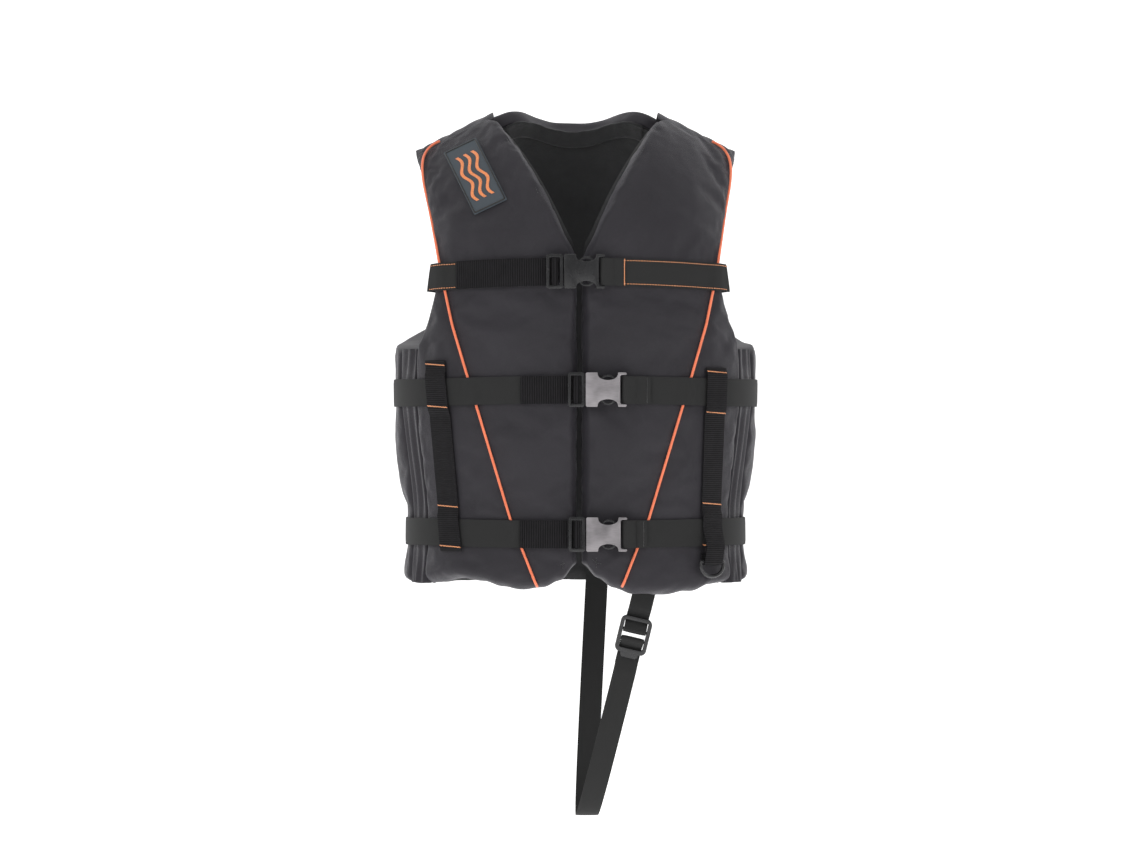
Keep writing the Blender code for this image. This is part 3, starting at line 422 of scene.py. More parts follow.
def shell_material(looks):
    """Charcoal woven nylon: soft sheen, fine weave, faint crumples and worn high spots."""
    material, tree, shader = new_material("shell_nylon")
    place = node(tree, "ShaderNodeTexCoord").outputs["Object"]
    broad = noise_at(tree, place, 9.0, 2.0)
    crumple = noise_at(tree, place, 42.0, 4.0, 0.55)
    fine = noise_at(tree, place, 700.0, 2.0)
    blend = maths(tree, "ADD", maths(tree, "MULTIPLY", broad, 0.7), maths(tree, "MULTIPLY", fine, 0.3))
    base = tuple(looks.shell_colour)
    colour = ramp(tree, blend, ((0.30, scaled(base, 0.84)), (0.70, scaled(base, 1.16))))
    link(tree, colour, shader.inputs["Base Color"])
    rough = node(tree, "ShaderNodeMapRange", {"Value": crumple, "To Min": 0.48, "To Max": 0.64})
    link(tree, rough.outputs["Result"], shader.inputs["Roughness"])
    shader.inputs["Sheen Weight"].default_value = 0.11
    shader.inputs["Sheen Roughness"].default_value = 0.45
    shader.inputs["Sheen Tint"].default_value = (0.80, 0.79, 0.86, 1.0)
    shader.inputs["Specular IOR Level"].default_value = 0.24
    weave = cloth_weave(tree, looks.shell_thread)
    first = bump(tree, crumple, 0.0028, 0.35)
    link(tree, bump(tree, weave, 0.00012, 0.5, first), shader.inputs["Normal"])
    return material


def lining_material(looks):
    """Dull black plain-woven lining."""
    material, tree, shader = new_material("lining_nylon")
    place = node(tree, "ShaderNodeTexCoord").outputs["Object"]
    crumple = noise_at(tree, place, 30.0, 4.0, 0.6)
    base = tuple(looks.lining_colour)
    # painted shade: the colour follows the crumple height, darker in its hollows
    colour = ramp(tree, crumple, ((0.3, scaled(base, 0.75)), (0.7, scaled(base, 1.3))))
    link(tree, colour, shader.inputs["Base Color"])
    shader.inputs["Roughness"].default_value = 0.78
    shader.inputs["Sheen Weight"].default_value = 0.15
    weave = cloth_weave(tree, looks.shell_thread * 1.4)
    first = bump(tree, crumple, 0.004, 0.5)
    link(tree, bump(tree, weave, 0.00015, 0.5, first), shader.inputs["Normal"])
    return material


def webbing_material(looks, name="belt_webbing", rib=None, painted_rib_shading=1.0):
    """Black ribbed webbing: ribs cross the strap, with fine threads along them."""
    rib = rib or looks.rib_pitch
    material, tree, shader = new_material(name)
    place = node(tree, "ShaderNodeUVMap", uv_map="cloth").outputs["UV"]
    split = node(tree, "ShaderNodeSeparateXYZ", {"Vector": place})
    across, length = split.outputs["X"], split.outputs["Y"]
    turns = maths(tree, "DIVIDE", length, rib)
    ribs = maths(tree, "ABSOLUTE", maths(tree, "SINE", maths(tree, "MULTIPLY", turns, pi)))
    shift = maths(tree, "MULTIPLY", maths(tree, "FLOOR", turns), pi / 2.0)
    angle = maths(tree, "ADD", maths(tree, "MULTIPLY", across, pi / 0.0011), shift)
    threads = maths(tree, "ABSOLUTE", maths(tree, "SINE", angle))
    height = maths(tree, "ADD", maths(tree, "MULTIPLY", ribs, 0.7), maths(tree, "MULTIPLY", threads, 0.3))
    object_place = node(tree, "ShaderNodeTexCoord").outputs["Object"]
    worn = noise_at(tree, object_place, 90.0, 3.0, 0.6)
    # painted shade and highlight: the rib height darkens the grooves and lightens the crests; worn adds
    # random tone
    tone = maths(tree, "ADD", maths(tree, "MULTIPLY", height, 0.75), maths(tree, "MULTIPLY", worn, 0.25))
    base = tuple(looks.webbing_colour)
    stops = ((0.30, scaled(base, 0.05)), (0.80, scaled(base, 1.0 + 1.2 * painted_rib_shading)))
    link(tree, ramp(tree, tone, stops), shader.inputs["Base Color"])
    shader.inputs["Roughness"].default_value = 0.66
    shader.inputs["Sheen Weight"].default_value = 0.03
    shader.inputs["Sheen Roughness"].default_value = 0.5
    shader.inputs["Specular IOR Level"].default_value = 0.10
    link(tree, bump(tree, height, 0.0005, 0.9), shader.inputs["Normal"])
    return material


def plastic_material(looks):
    """Black moulded acetal: semi-gloss with a fine spark-eroded grain."""
    material, tree, shader = new_material("buckle_acetal")
    place = node(tree, "ShaderNodeTexCoord").outputs["Object"]
    grain = noise_at(tree, place, 2600.0, 2.0)
    smear = noise_at(tree, place, 60.0, 3.0)
    base = tuple(looks.plastic_colour)
    colour = ramp(tree, smear, ((0.3, scaled(base, 0.85)), (0.7, scaled(base, 1.2))))
    link(tree, colour, shader.inputs["Base Color"])
    rough = node(tree, "ShaderNodeMapRange", {"Value": smear, "To Min": 0.20, "To Max": 0.32})
    link(tree, rough.outputs["Result"], shader.inputs["Roughness"])
    link(tree, bump(tree, grain, 0.00006, 0.5), shader.inputs["Normal"])
    return material


def plate_reflection_material(looks):
    """Worn, brushed front of a buckle's socket, paler along its middle."""
    material, tree, shader = new_material("buckle_plate_reflection")
    place = node(tree, "ShaderNodeTexCoord").outputs["Object"]
    stretched = node(tree, "ShaderNodeMapping", {"Vector": place}, vector_type="POINT")
    stretched.inputs["Scale"].default_value = (1.0, 1.0, 14.0)
    brushed = noise_at(tree, stretched.outputs["Vector"], 160.0, 3.0)
    broad = noise_at(tree, place, 48.0, 2.0)
    tone = maths(tree, "ADD", maths(tree, "MULTIPLY", brushed, 0.25), maths(tree, "MULTIPLY", broad, 0.75))
    base = tuple(looks.plate_reflection_colour)
    link(tree, ramp(tree, tone, ((0.32, scaled(base, 0.62)), (0.66, scaled(base, 1.3)))),
         shader.inputs["Base Color"])
    shader.inputs["Metallic"].default_value = 0.35
    shader.inputs["Roughness"].default_value = 0.42
    link(tree, bump(tree, brushed, 0.00004, 0.4), shader.inputs["Normal"])
    return material


TWILL_PITCH = (0.0016, 0.0011)          # around the cord, along it


def piping_material(looks):
    """Salmon-orange covered cord with a slanting twill."""
    material, tree, shader = new_material("piping_twill")
    place = node(tree, "ShaderNodeUVMap", uv_map="cloth").outputs["UV"]
    split = node(tree, "ShaderNodeSeparateXYZ", {"Vector": place})
    around = maths(tree, "MULTIPLY", split.outputs["X"], tau / TWILL_PITCH[0])
    forward = maths(tree, "MULTIPLY", split.outputs["Y"], tau / TWILL_PITCH[1])
    slant = maths(tree, "ADD", around, forward)
    twill = maths(tree, "ABSOLUTE", maths(tree, "SINE", slant))
    soiled = noise_at(tree, node(tree, "ShaderNodeTexCoord").outputs["Object"], 55.0, 3.0)
    # partly painted shade: the twill height darkens the grooves; soiled adds random tone
    tone = maths(tree, "ADD", maths(tree, "MULTIPLY", twill, 0.35), maths(tree, "MULTIPLY", soiled, 0.65))
    base = tuple(looks.piping_colour)
    link(tree, ramp(tree, tone, ((0.2, scaled(base, 0.78)), (0.7, scaled(base, 1.1)))),
         shader.inputs["Base Color"])
    shader.inputs["Roughness"].default_value = 0.55
    shader.inputs["Sheen Weight"].default_value = 0.2
    link(tree, bump(tree, twill, 0.00015, 0.5), shader.inputs["Normal"])
    return material


def thread_material(name, colour):
    """Sewing thread, with a little sheen and a twist."""
    material, tree, shader = new_material(name)
    place = node(tree, "ShaderNodeTexCoord").outputs["Object"]
    strand = noise_at(tree, place, 900.0, 2.0)
    link(tree, ramp(tree, strand, ((0.3, scaled(colour, 0.75)), (0.7, scaled(colour, 1.15)))),
         shader.inputs["Base Color"])
    shader.inputs["Roughness"].default_value = 0.5
    shader.inputs["Sheen Weight"].default_value = 0.3
    link(tree, bump(tree, strand, 0.0001, 0.6), shader.inputs["Normal"])
    return material


def rubber_material(looks):
    """Dark blue-grey moulded rubber with a matt pebbled face."""
    material, tree, shader = new_material("patch_rubber")
    place = node(tree, "ShaderNodeTexCoord").outputs["Object"]
    pebble = noise_at(tree, place, 1500.0, 3.0)
    bloom = noise_at(tree, place, 45.0, 3.0)
    base = tuple(looks.rubber_colour)
    link(tree, ramp(tree, bloom, ((0.3, scaled(base, 0.88)), (0.7, scaled(base, 1.15)))),
         shader.inputs["Base Color"])
    rough = node(tree, "ShaderNodeMapRange", {"Value": pebble, "To Min": 0.46, "To Max": 0.62})
    link(tree, rough.outputs["Result"], shader.inputs["Roughness"])
    link(tree, bump(tree, pebble, 0.00008, 0.6), shader.inputs["Normal"])
    return material


def rim_painted_shade_material(looks):
    """Black moulded rubber of the patch's rim."""
    material, tree, shader = new_material("patch_rim_painted_shade")
    pebble = noise_at(tree, node(tree, "ShaderNodeTexCoord").outputs["Object"], 1500.0, 3.0)
    link(tree, ramp(tree, pebble, ((0.3, (0.004, 0.004, 0.004)), (0.7, (0.012, 0.012, 0.012)))),
         shader.inputs["Base Color"])
    shader.inputs["Roughness"].default_value = 0.42
    link(tree, bump(tree, pebble, 0.00008, 0.6), shader.inputs["Normal"])
    return material


def stock(name, make, *arguments):
    """A material made once and shared by every piece cut from it."""
    found = bpy.data.materials.get(name)
    return found or make(*arguments)


def shell(looks):
    return stock("shell_nylon", shell_material, looks)


def lining(looks):
    return stock("lining_nylon", lining_material, looks)


def webbing(looks):
    return stock("belt_webbing", webbing_material, looks)


def plastic(looks):
    return stock("buckle_acetal", plastic_material, looks)


def orange_thread(looks):
    return stock("orange_thread", thread_material, "orange_thread", tuple(looks.thread_colour))


def dark_thread(looks):
    return stock("dark_thread", thread_material, "dark_thread", (0.010, 0.010, 0.011))


# ---------------------------------------------------------------- padded panels
EDGE_ROUND = 0.011          # how far in from its edge a panel starts to curl over
EDGE_DROP = 0.012           # how deep the curl goes before the wall stands straight
PANEL_BACK = 0.0284
SEAM_DIP = 0.0016
SEAM_DIP_WIDTH = 0.0045


def crowded(share, edge):
    """Move evenly spaced places towards both ends, so that a curled edge has rows enough."""
    return share + edge * np.sin(tau * share) / tau * -1.0


def edge_curl(distances, reach):
    """Depth of the outer skin near an edge, rounded at the corners too."""
    square = sum(np.clip(1.0 - distance / reach, 0.0, 1.0) ** 2 for distance in distances)
    return EDGE_DROP * (1.0 - np.sqrt(1.0 - np.minimum(square, 1.0)))


def belt_height(belt, x):
    return BELT_Z[belt] - BELT_DROP[belt] * np.minimum(np.abs(x) / 0.160, 1.0) ** 2


def under_belt(points, front_only_top=True):
    """1 where webbing holds the cloth down, falling to 0 a little way from it."""
    held = np.zeros(len(points))
    for belt in BELT_Z:
        away = np.abs(points[:, 2] - belt_height(belt, points[:, 0]))
        near = 1.0 - (away - WEB_WIDTH / 2.0 - 0.001) / 0.012
        if belt == "top":
            near = np.where(points[:, 1] < 0.0, near, 0.0)
        held = np.maximum(held, ease(near))
    for (top_x, top_z), (low_x, low_z) in UPRIGHTS.values():
        share = (points[:, 2] - top_z) / (low_z - top_z)
        away = np.abs(points[:, 0] - mix(top_x, low_x, share))
        near = ease(1.0 - (away - WEB_NARROW / 2.0) / 0.012)
        inside = (share > -0.05) & (share < 1.05) & (points[:, 1] < 0.0)
        held = np.maximum(held, np.where(inside, near, 0.0))
    return held


def under_patch(points):
    offset = points[:, [0, 2]] - np.array(PATCH_CENTRE)
    right = np.array([cos(PATCH_TILT), sin(PATCH_TILT)])
    down = np.array([sin(PATCH_TILT), -cos(PATCH_TILT)])
    sideways = (np.abs(offset @ right) - PATCH_SIZE[0] / 2.0) / 0.012
    lengthways = (np.abs(offset @ down) - PATCH_SIZE[1] / 2.0) / 0.012
    near = 1.0 - np.maximum(sideways, lengthways)
    return np.where(points[:, 1] < 0.0, ease(near), 0.0)


def near_piping(points):
    away = np.abs(np.abs(points[:, 0]) - along(PIPING_LINE, points[:, 2]))
    return np.where(points[:, 1] < 0.0, np.exp(-((away / SEAM_DIP_WIDTH) ** 2)), 0.0)


def nearest(points, line):
    """Distance from each point to the nearest of a line of points."""
    return np.min(np.linalg.norm(points[:, None, :] - line[None, :, :], axis=2), axis=1)


def boundary(seat, kind, places):
    """Points along one edge of a pattern, at these places along it."""
    fixed = np.full_like(places, 1.0 if kind in ("outer", "low") else 0.0)
    angle, z = seat(fixed, places) if kind in ("inner", "outer") else seat(places, fixed)
    return at_height(angle, z, np.zeros_like(z))


def front_curl(points, side, reach):
    """How far a front panel's curled skin lies below the form at these places."""
    def seat(across, down):
        return front_seat(across, down, side)

    places = np.linspace(0.0, 1.0, 400)
    outer = nearest(points, boundary(seat, "outer", places)) / reach
    low = nearest(points, boundary(seat, "low", places))
    return edge_curl([outer, low], EDGE_ROUND)


def panel(name, looks, columns, rows, seat, side, reach):
    """A closed padded form: curled outer skin, side wall and flat back."""
    bm = flat_slab(columns, rows, walls=2)
    flat = coordinates(bm.verts)
    across, down = crowded(flat[:, 0], 0.55), crowded(flat[:, 1], 0.45)
    for vert, x, y in zip(bm.verts, across, down):
        vert.co.x, vert.co.y = x, y
    store_cloth_map(bm, 0.40 if side == 0 else 0.19, 0.51)
    angle, z = seat(across, down)
    middle = at_height(angle, z, np.zeros_like(z))
    by_row, by_column = np.unique(np.round(down, 6)), np.unique(np.round(across, 6))
    inner, far = (nearest(middle, boundary(seat, kind, by_row)) for kind in ("inner", "outer"))
    low, high = (nearest(middle, boundary(seat, kind, by_column)) for kind in ("low", "top"))
    crisp = inner
    if side:
        crisp = inner * np.where(z < NECK_APEX_Z, 2.4, 1.3)
    sides = np.minimum(inner, far)
    outer = edge_curl([np.minimum(crisp, far) / reach, low, high * 1.6], EDGE_ROUND)
    outer += SEAM_DIP * near_piping(middle) * (sides > EDGE_ROUND)
    if side < 0.0:
        outer += 0.0011 * np.exp(-(((inner - 0.0062) / 0.0011) ** 2)) * (z < NECK_APEX_Z)
    depth = mix(outer, PANEL_BACK, flat[:, 2])
    points = at_height(angle, z, depth)
    if side:
        points[:, 0] *= side
    move_to(bm, points)
    item = finished(name, bm, shell(looks), slot="shell_cloth")
    return item, flat, np.minimum(np.minimum(sides, low), high)


def puckers(item, flat):
    """Small uneven start for the cloth, the same each time."""
    points = coordinates(item.data.vertices)
    normals = np.array([vert.normal for vert in item.data.vertices])
    lumps = np.array([noise.noise(Vector(point) * 60.0) + 0.6 * noise.noise(Vector(point) * 140.0)
                      for point in points])
    lumps *= (flat[:, 2] < 0.5) * 0.0008
    points += normals * lumps[:, None]
    item.data.vertices.foreach_set("co", points.astype(np.float32).ravel())
    item.data.update()
    return points


def blow_up(panels, looks):
    """Let the slack cloth of every panel fill out between its seams, belts and patch."""
    rest, limits = {}, {}
    for item, flat, from_edge in panels:
        points = puckers(item, flat)
        held = np.maximum(under_belt(points), under_patch(points))
        held = np.maximum(held, near_piping(points))
        held = np.maximum(held, np.where(flat[:, 2] > 0.9, 1.0, 0.0))
        rest[item.name] = points
        room = looks.puff * ease(from_edge / 0.035) + looks.edge_puff
        limits[item.name] = room * (1.0 - held)
        group = item.vertex_groups.new(name="sewn_down")
        for index, weight in enumerate(held):
            group.add([index], float(weight), "REPLACE")
        step = item.modifiers.new("cloth", "CLOTH")
        cloth = step.settings
        cloth.quality = 4
        cloth.mass = 0.2
        cloth.tension_stiffness = 18.0
        cloth.compression_stiffness = 18.0
        cloth.shear_stiffness = 8.0
        cloth.bending_stiffness = looks.stiffness
        cloth.use_pressure = True
        cloth.uniform_pressure_force = looks.pressure
        cloth.vertex_group_mass = "sewn_down"
        cloth.shrink_min = -looks.slack
        cloth.effector_weights.gravity = 0.0
        step.point_cache.frame_start = 1
        step.point_cache.frame_end = looks.frames
    scene = bpy.context.scene
    for number in range(1, looks.frames + 1):
        scene.frame_set(number)
    for item, flat, _ in panels:
        made = evaluated_mesh(item)
        moved = coordinates(made.vertices) - rest[item.name]
        bpy.data.meshes.remove(made)
        length = np.linalg.norm(moved, axis=1)
        capped = limits[item.name] * np.tanh(length / np.maximum(limits[item.name], 1e-6))
        moved *= (capped / np.maximum(length, 1e-9))[:, None]
        item.modifiers.remove(item.modifiers["cloth"])
        item.vertex_groups.clear()
        points = rest[item.name] + moved
        item.data.vertices.foreach_set("co", points.astype(np.float32).ravel())
        item.data.update()
    scene.frame_set(1)


def build_panels(looks):
    left = panel("front_left_panel", looks, 40, 104, front_seat, 1.0, 0.8)
    right = panel("front_right_panel", looks, 40, 104, right_seat, -1.0, 0.8)
    back = panel("back_panel", looks, 84, 104, back_seat, 0.0, 1.0)
    panels = [left, right, back]
    blow_up(panels, looks)
    for (item, _, _), name in zip(panels, ("front_left", "front_right", "back")):
        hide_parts(name + "_shell", name + "_foam")
        add_subdivision(item)


def cloth_slab(name, looks, columns, rows, seat, depth_rule, side=0.0, material=None, size=(0.19, 0.51)):
    """Thin cloth laid on the form by a depth rule of (across, down, inward)."""
    bm = flat_slab(columns, rows)
    flat = coordinates(bm.verts)
    store_cloth_map(bm, *size)
    angle, z = seat(flat[:, 0], flat[:, 1])
    points = at_height(angle, z, depth_rule(flat[:, 0], flat[:, 1], flat[:, 2], z))
    if side:
        points[:, 0] *= side
    move_to(bm, points)
    return finished(name, bm, material or shell(looks))


LINING_DEPTH = 0.0304
LINING_LIP = 0.016                      # how far the lining's front edge passes the shell's, in radians
GUSSET_ANGLES = (radians(61.0), radians(78.4))
GUSSET_LEVELS = (-0.241, -0.497)
GUSSET_FOLDS = (0.30, 0.72)             # share of the way across the gusset
GUSSET_FOLD_WIDTH = 0.14
YOKE_REACH = 0.0060                     # how far a yoke falls to each side of the ridge
YOKE_SEAM = 0.003
FACING_START_X = 0.084
FACING_DEPTH = 0.0345
FACING_DROP = 0.016


def build_linings(looks):
    """Inner cloth of the three panels; its edge shows a little past the shell's."""
    def soft(across, down, inward, z):
        ripple = 0.0006 * np.sin(31.0 * across + 5.0 * np.sin(9.0 * down)) * np.sin(23.0 * down)
        return LINING_DEPTH + ripple + 0.0010 * inward

    for side, name in ((1.0, "front_left"), (-1.0, "front_right")):
        def lip(across, down, side=side):
            angle, z = front_seat(across, down, side)
            return angle - LINING_LIP * np.clip(1.0 - across / 0.08, 0.0, 1.0) * (z > NECK_APEX_Z), z

        item = cloth_slab(name + "_lining_cloth", looks, 24, 60, lip, soft, side, lining(looks))
        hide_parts(name + "_lining")
    item = cloth_slab("back_lining_cloth", looks, 48, 60, back_seat, soft, 0.0, lining(looks), (0.4, 0.51))
    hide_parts("back_lining")


def build_gussets(looks):
    """Side cloth with two long folds and puckers where the belts cross."""
    for side, name in ((1.0, "side_gusset_left"), (-1.0, "side_gusset_right")):
        def seat(across, down):
            return mix(*GUSSET_ANGLES, across), mix(*GUSSET_LEVELS, down)

        def folds(across, down, inward, z, side=side):
            wander = 0.05 * np.sin(4.3 * down + side) + 0.02 * np.sin(11.0 * down + 2.0 * side)
            away = [(across - fold - wander) / GUSSET_FOLD_WIDTH for fold in GUSSET_FOLDS]
            wave = sum(np.exp(-(step ** 2)) for step in away)
            pucker = 0.0010 * np.sin(26.0 * across + 3.0 * side) * ease((down - 0.88) / 0.12)
            for belt in ("middle", "bottom"):
                wave = wave * (1.0 - 0.8 * np.exp(-(((z - BELT_Z[belt]) / 0.024) ** 2)))
            edge = np.minimum(across, 1.0 - across)
            return 0.0022 + 0.0046 * wave + pucker + 0.005 * (1.0 - ease(edge / 0.08)) + 0.0016 * inward

        item = cloth_slab(name + "_cloth", looks, 40, 90, seat, folds, side, size=(0.05, 0.26))
        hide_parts(name)


def build_yokes(looks):
    """Cloth over each shoulder, creased where the two panels pull on it."""
    inner = float(angle_at(NECK_INNER + YOKE_SEAM, ridge(NECK_INNER + YOKE_SEAM)))
    outer = float(angle_at(SHOULDER_OUTER - YOKE_SEAM, ridge(SHOULDER_OUTER - YOKE_SEAM)))
    for side, name in ((1.0, "shoulder_yoke_left"), (-1.0, "shoulder_yoke_right")):
        bm = flat_slab(36, 28)
        flat = coordinates(bm.verts)
        store_cloth_map(bm, 0.10, 0.04)
        reach = 2.0 * flat[:, 1] - 1.0
        fall = YOKE_REACH * np.abs(reach) ** 1.8
        angle = mix(inner, outer, flat[:, 0])
        angle = np.where(reach > 0.0, pi - angle, angle)
        crease = 0.0012 * np.sin(24.0 * flat[:, 0] + 5.0 * reach) * np.sin(9.0 * flat[:, 0])
        depth = 0.0012 + crease + 0.0040 * np.abs(reach) ** 3 + 0.0016 * flat[:, 2]
        points = on_form(angle, fall, depth)
        points[:, 0] *= side
        move_to(bm, points)
        finished(name + "_cloth", bm, shell(looks), stands_for=(name,), slot="shell_cloth")


def build_facing(looks):
    """Doubled cloth rolled over along the back of the neck hole."""
    start = float(angle_at(FACING_START_X, 0.0, front=False))

    def seat(across, down):
        angle = mix(start, tau - start, across)
        x = x_on_form(angle, np.zeros_like(angle))
        top = mix(BACK_NECK_Z, ridge(x) - SEAM_FALL, ease(np.abs(x) / NECK_INNER) ** 2)
        return angle, top + 0.002 - FACING_DROP * down

    def roll(across, down, inward, z):
        wave = 0.0008 * np.sin(40.0 * across) + 0.0005 * np.sin(91.0 * across + 2.0)
        return FACING_DEPTH + wave * (1.0 - down) - 0.003 * (1.0 - down) ** 3 + 0.0014 * inward

    item = cloth_slab("collar_facing_cloth", looks, 60, 8, seat, roll, 0.0, lining(looks), (0.2, 0.02))
    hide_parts("collar_facing")


# ---------------------------------------------------------------- webbing
BELT_TUCK_X = 0.156                     # where the top belt turns in at the armhole
TUCK_LEVEL_X = 0.160
TUCK_ANGLE = 0.0032
TUCK_LIFTS = (-0.002, -0.006, -0.012, -0.018, -0.026)
TAIL_RISE = ((-0.0065, 0.0037), (-0.0044, 0.0041), (-0.0031, 0.0053))   # from the bar, lift


def ribbon(name, looks, path, width_rows=6, material=None, body="vest", stands_for=(), thickness=WEB):
    """Webbing along (centre, half-width) pairs, thinner at its two selvedges."""
    last = len(path) - 1
    bm = flat_slab(last, width_rows)
    centres = np.array([centre for centre, _ in path], float)
    halves = np.array([half for _, half in path], float)
    run = np.concatenate([[0.0], np.cumsum(np.linalg.norm(np.diff(centres, axis=0), axis=1))])
    ahead = np.gradient(centres, axis=0)
    normals = np.cross(halves, ahead)
    normals /= np.linalg.norm(normals, axis=1, keepdims=True)
    flat = coordinates(bm.verts)
    step = np.round(flat[:, 0] * last).astype(int)
    side = 2.0 * flat[:, 1] - 1.0
    layer = bm.loops.layers.uv.new("cloth")
    width = 2.0 * float(np.linalg.norm(halves[0]))
    for face in bm.faces:
        for loop in face.loops:
            spot = loop.vert.co
            loop[layer].uv = (spot.y * width, run[round(spot.x * last)])
    thin = thickness * (1.0 - 0.45 * np.abs(side) ** 6)
    offset = (flat[:, 2] - 0.5) * thin
    points = centres[step] + halves[step] * side[:, None] + normals[step] * offset[:, None]
    move_to(bm, points)
    return finished(name, bm, material or webbing(looks), body, stands_for, "belt_webbing", angle=50.0)


def belt_pose(belt, angle, lift, hump=0.0016):
    """Middle point and half-width of a belt lying on the form."""
    x = x_on_form(angle, BELT_Z[belt])
    z = belt_height(belt, x)
    if cos(angle) > 0.0:
        away = abs(abs(float(x)) - float(along(PIPING_LINE, BELT_Z[belt])))
        lift = lift + hump * float(ease(1.0 - (away - 0.002) / 0.009))
    top = at_height(angle, z + WEB_WIDTH / 2.0, -lift)
    low = at_height(angle, z - WEB_WIDTH / 2.0, -lift)
    return (top + low) / 2.0, (top - low) / 2.0


def flat_pose(belt, x, lift):
    front = at_height(0.0, BELT_Z[belt], 0.0)[1]
    return np.array([x, front - lift, float(belt_height(belt, x))]), np.array([0.0, 0.0, WEB_WIDTH / 2.0])


def turn_poses(belt, centre_x, lift, radius, start, end, count=14):
    turns = [radians(mix(start, end, i / count)) for i in range(count + 1)]
    return [flat_pose(belt, centre_x + radius * cos(a), lift + radius * sin(a)) for a in turns]


def form_poses(belt, start, end, lift, count):
    return [belt_pose(belt, mix(start, end, i / count), lift) for i in range(count + 1)]


def angle_of(belt, x):
    return float(angle_at(x, BELT_Z[belt]))


def socket_fold(belt):
    bar = BUCKLE_X[belt] + SOCKET_BAR_X
    radius = SOCKET_BAR_R + CLEARANCE + WEB / 2.0
    sewn = form_poses(belt, angle_of(belt, FOLD_END_X[belt]), angle_of(belt, bar + 0.011), OVER, 6)
    return sewn + turn_poses(belt, bar, BUCKLE_LIFT, radius, 50, 285, 16)


def wrap_at_armhole(belt, side):
    """Belt end turned in round the armhole edge of a front panel."""
    z = float(belt_height(belt, TUCK_LEVEL_X))
    poses = []
    for lift in (UNDER, *TUCK_LIFTS):
        top, low = (
            at_height(angle_at(float(armhole_x(level)) + TUCK_ANGLE, level), level, -lift)
            for level in (z + WEB_WIDTH / 2.0, z - WEB_WIDTH / 2.0)
        )
        poses.append((mirror_point((top + low) / 2.0, side), mirror_point((top - low) / 2.0, side)))
    return poses


def mirror_point(point, side):
    return np.array([point[0] * side, point[1], point[2]])


def build_belts(looks):
    """Three belts with their ends doubled round the buckle sockets."""
    top = "top"
    bar = BUCKLE_X[top] + SOCKET_BAR_X
    fixed = {belt: BUCKLE_X[belt] - 0.0040 for belt in BELT_Z}
    lay = form_poses(top, angle_of(top, bar + 0.014), angle_of(top, BELT_TUCK_X), UNDER, 50)
    path = socket_fold(top) + lay + wrap_at_armhole(top, 1.0)
    ribbon("top_belt_left_webbing", looks, path, stands_for=("top_belt_left",))
    lay = form_poses(top, angle_of(top, fixed[top]), angle_of(top, -BELT_TUCK_X), UNDER, 50)
    path = lay + wrap_at_armhole(top, -1.0)
    ribbon("top_belt_right_webbing", looks, path, stands_for=("top_belt_right",))
    for belt in ("middle", "bottom"):
        start = angle_of(belt, BUCKLE_X[belt] + SOCKET_BAR_X + 0.014)
        lay = form_poses(belt, start, tau + angle_of(belt, fixed[belt]), UNDER, 260)
        ribbon(belt + "_belt_webbing", looks, socket_fold(belt) + lay, stands_for=(belt + "_belt",))


def build_tails(looks):
    """Free belt ends threaded round each male half and laid back over the belt."""
    for belt in BELT_Z:
        shift = BUCKLE_X[belt]
        bar = shift + CENTRE_BAR_X
        radius = CENTRE_BAR_R + CLEARANCE + WEB / 2.0
        start, end = angle_of(belt, TAIL_END_X[belt]), angle_of(belt, shift - 0.017)
        path = form_poses(belt, start, end, OVER, 44)
        path += [flat_pose(belt, bar + x, lift) for x, lift in TAIL_RISE]
        path += turn_poses(belt, bar, BUCKLE_LIFT, radius, 180, -80)
        # tail webbing with stronger painted rib shade and highlight
        material = stock("tail_webbing", webbing_material, looks, "tail_webbing",
                         looks.rib_pitch * 1.15, 1.25)
        ribbon(belt + "_belt_tail_webbing", looks, path, material=material, body=belt + "_male",
               stands_for=(belt + "_belt_tail",))


def over_belts(z):
    lift = np.full_like(np.asarray(z, float), WEB_LIFT)
    for belt in ("middle", "bottom"):
        near = np.abs(z - belt_height(belt, 0.150))
        lift = lift + (WEB + 0.0012) * ease(1.0 - (near - WEB_WIDTH / 2.0 - 0.002) / 0.009)
    return lift


def upright_centre(side, z, extra=0.0):
    (top_x, top_z), (low_x, low_z) = UPRIGHTS[side]
    x = mix(top_x, low_x, (z - top_z) / (low_z - top_z))
    return at_front(x, z, -(over_belts(z) + WEB / 2.0 + extra))


def upright_half(side, z):
    """Half-width vector of upright webbing: level, along the turned flank."""
    (top_x, top_z), (low_x, low_z) = UPRIGHTS[side]
    x = mix(top_x, low_x, (z - top_z) / (low_z - top_z))
    out = normal_at_front(x, z)
    level = np.array([-out[1], out[0], 0.0])
    return level / np.linalg.norm(level) * WEB_UPRIGHT / 2.0


def ring_frame():
    (top_x, top_z), (low_x, low_z) = UPRIGHTS["left"]
    x = mix(top_x, low_x, (RING_BAR_Z - top_z) / (low_z - top_z))
    out = Vector(normal_at_front(x, RING_BAR_Z))
    out.z = 0.0
    out.normalize()
    bar = Vector((-out.y, out.x, 0.0))
    turned = Matrix((bar, -out, Vector((0.0, 0.0, 1.0)))).transposed().to_4x4()
    turned.translation = Vector(at_front(x, RING_BAR_Z, 0.0)) + out * RING_LIFT
    return turned


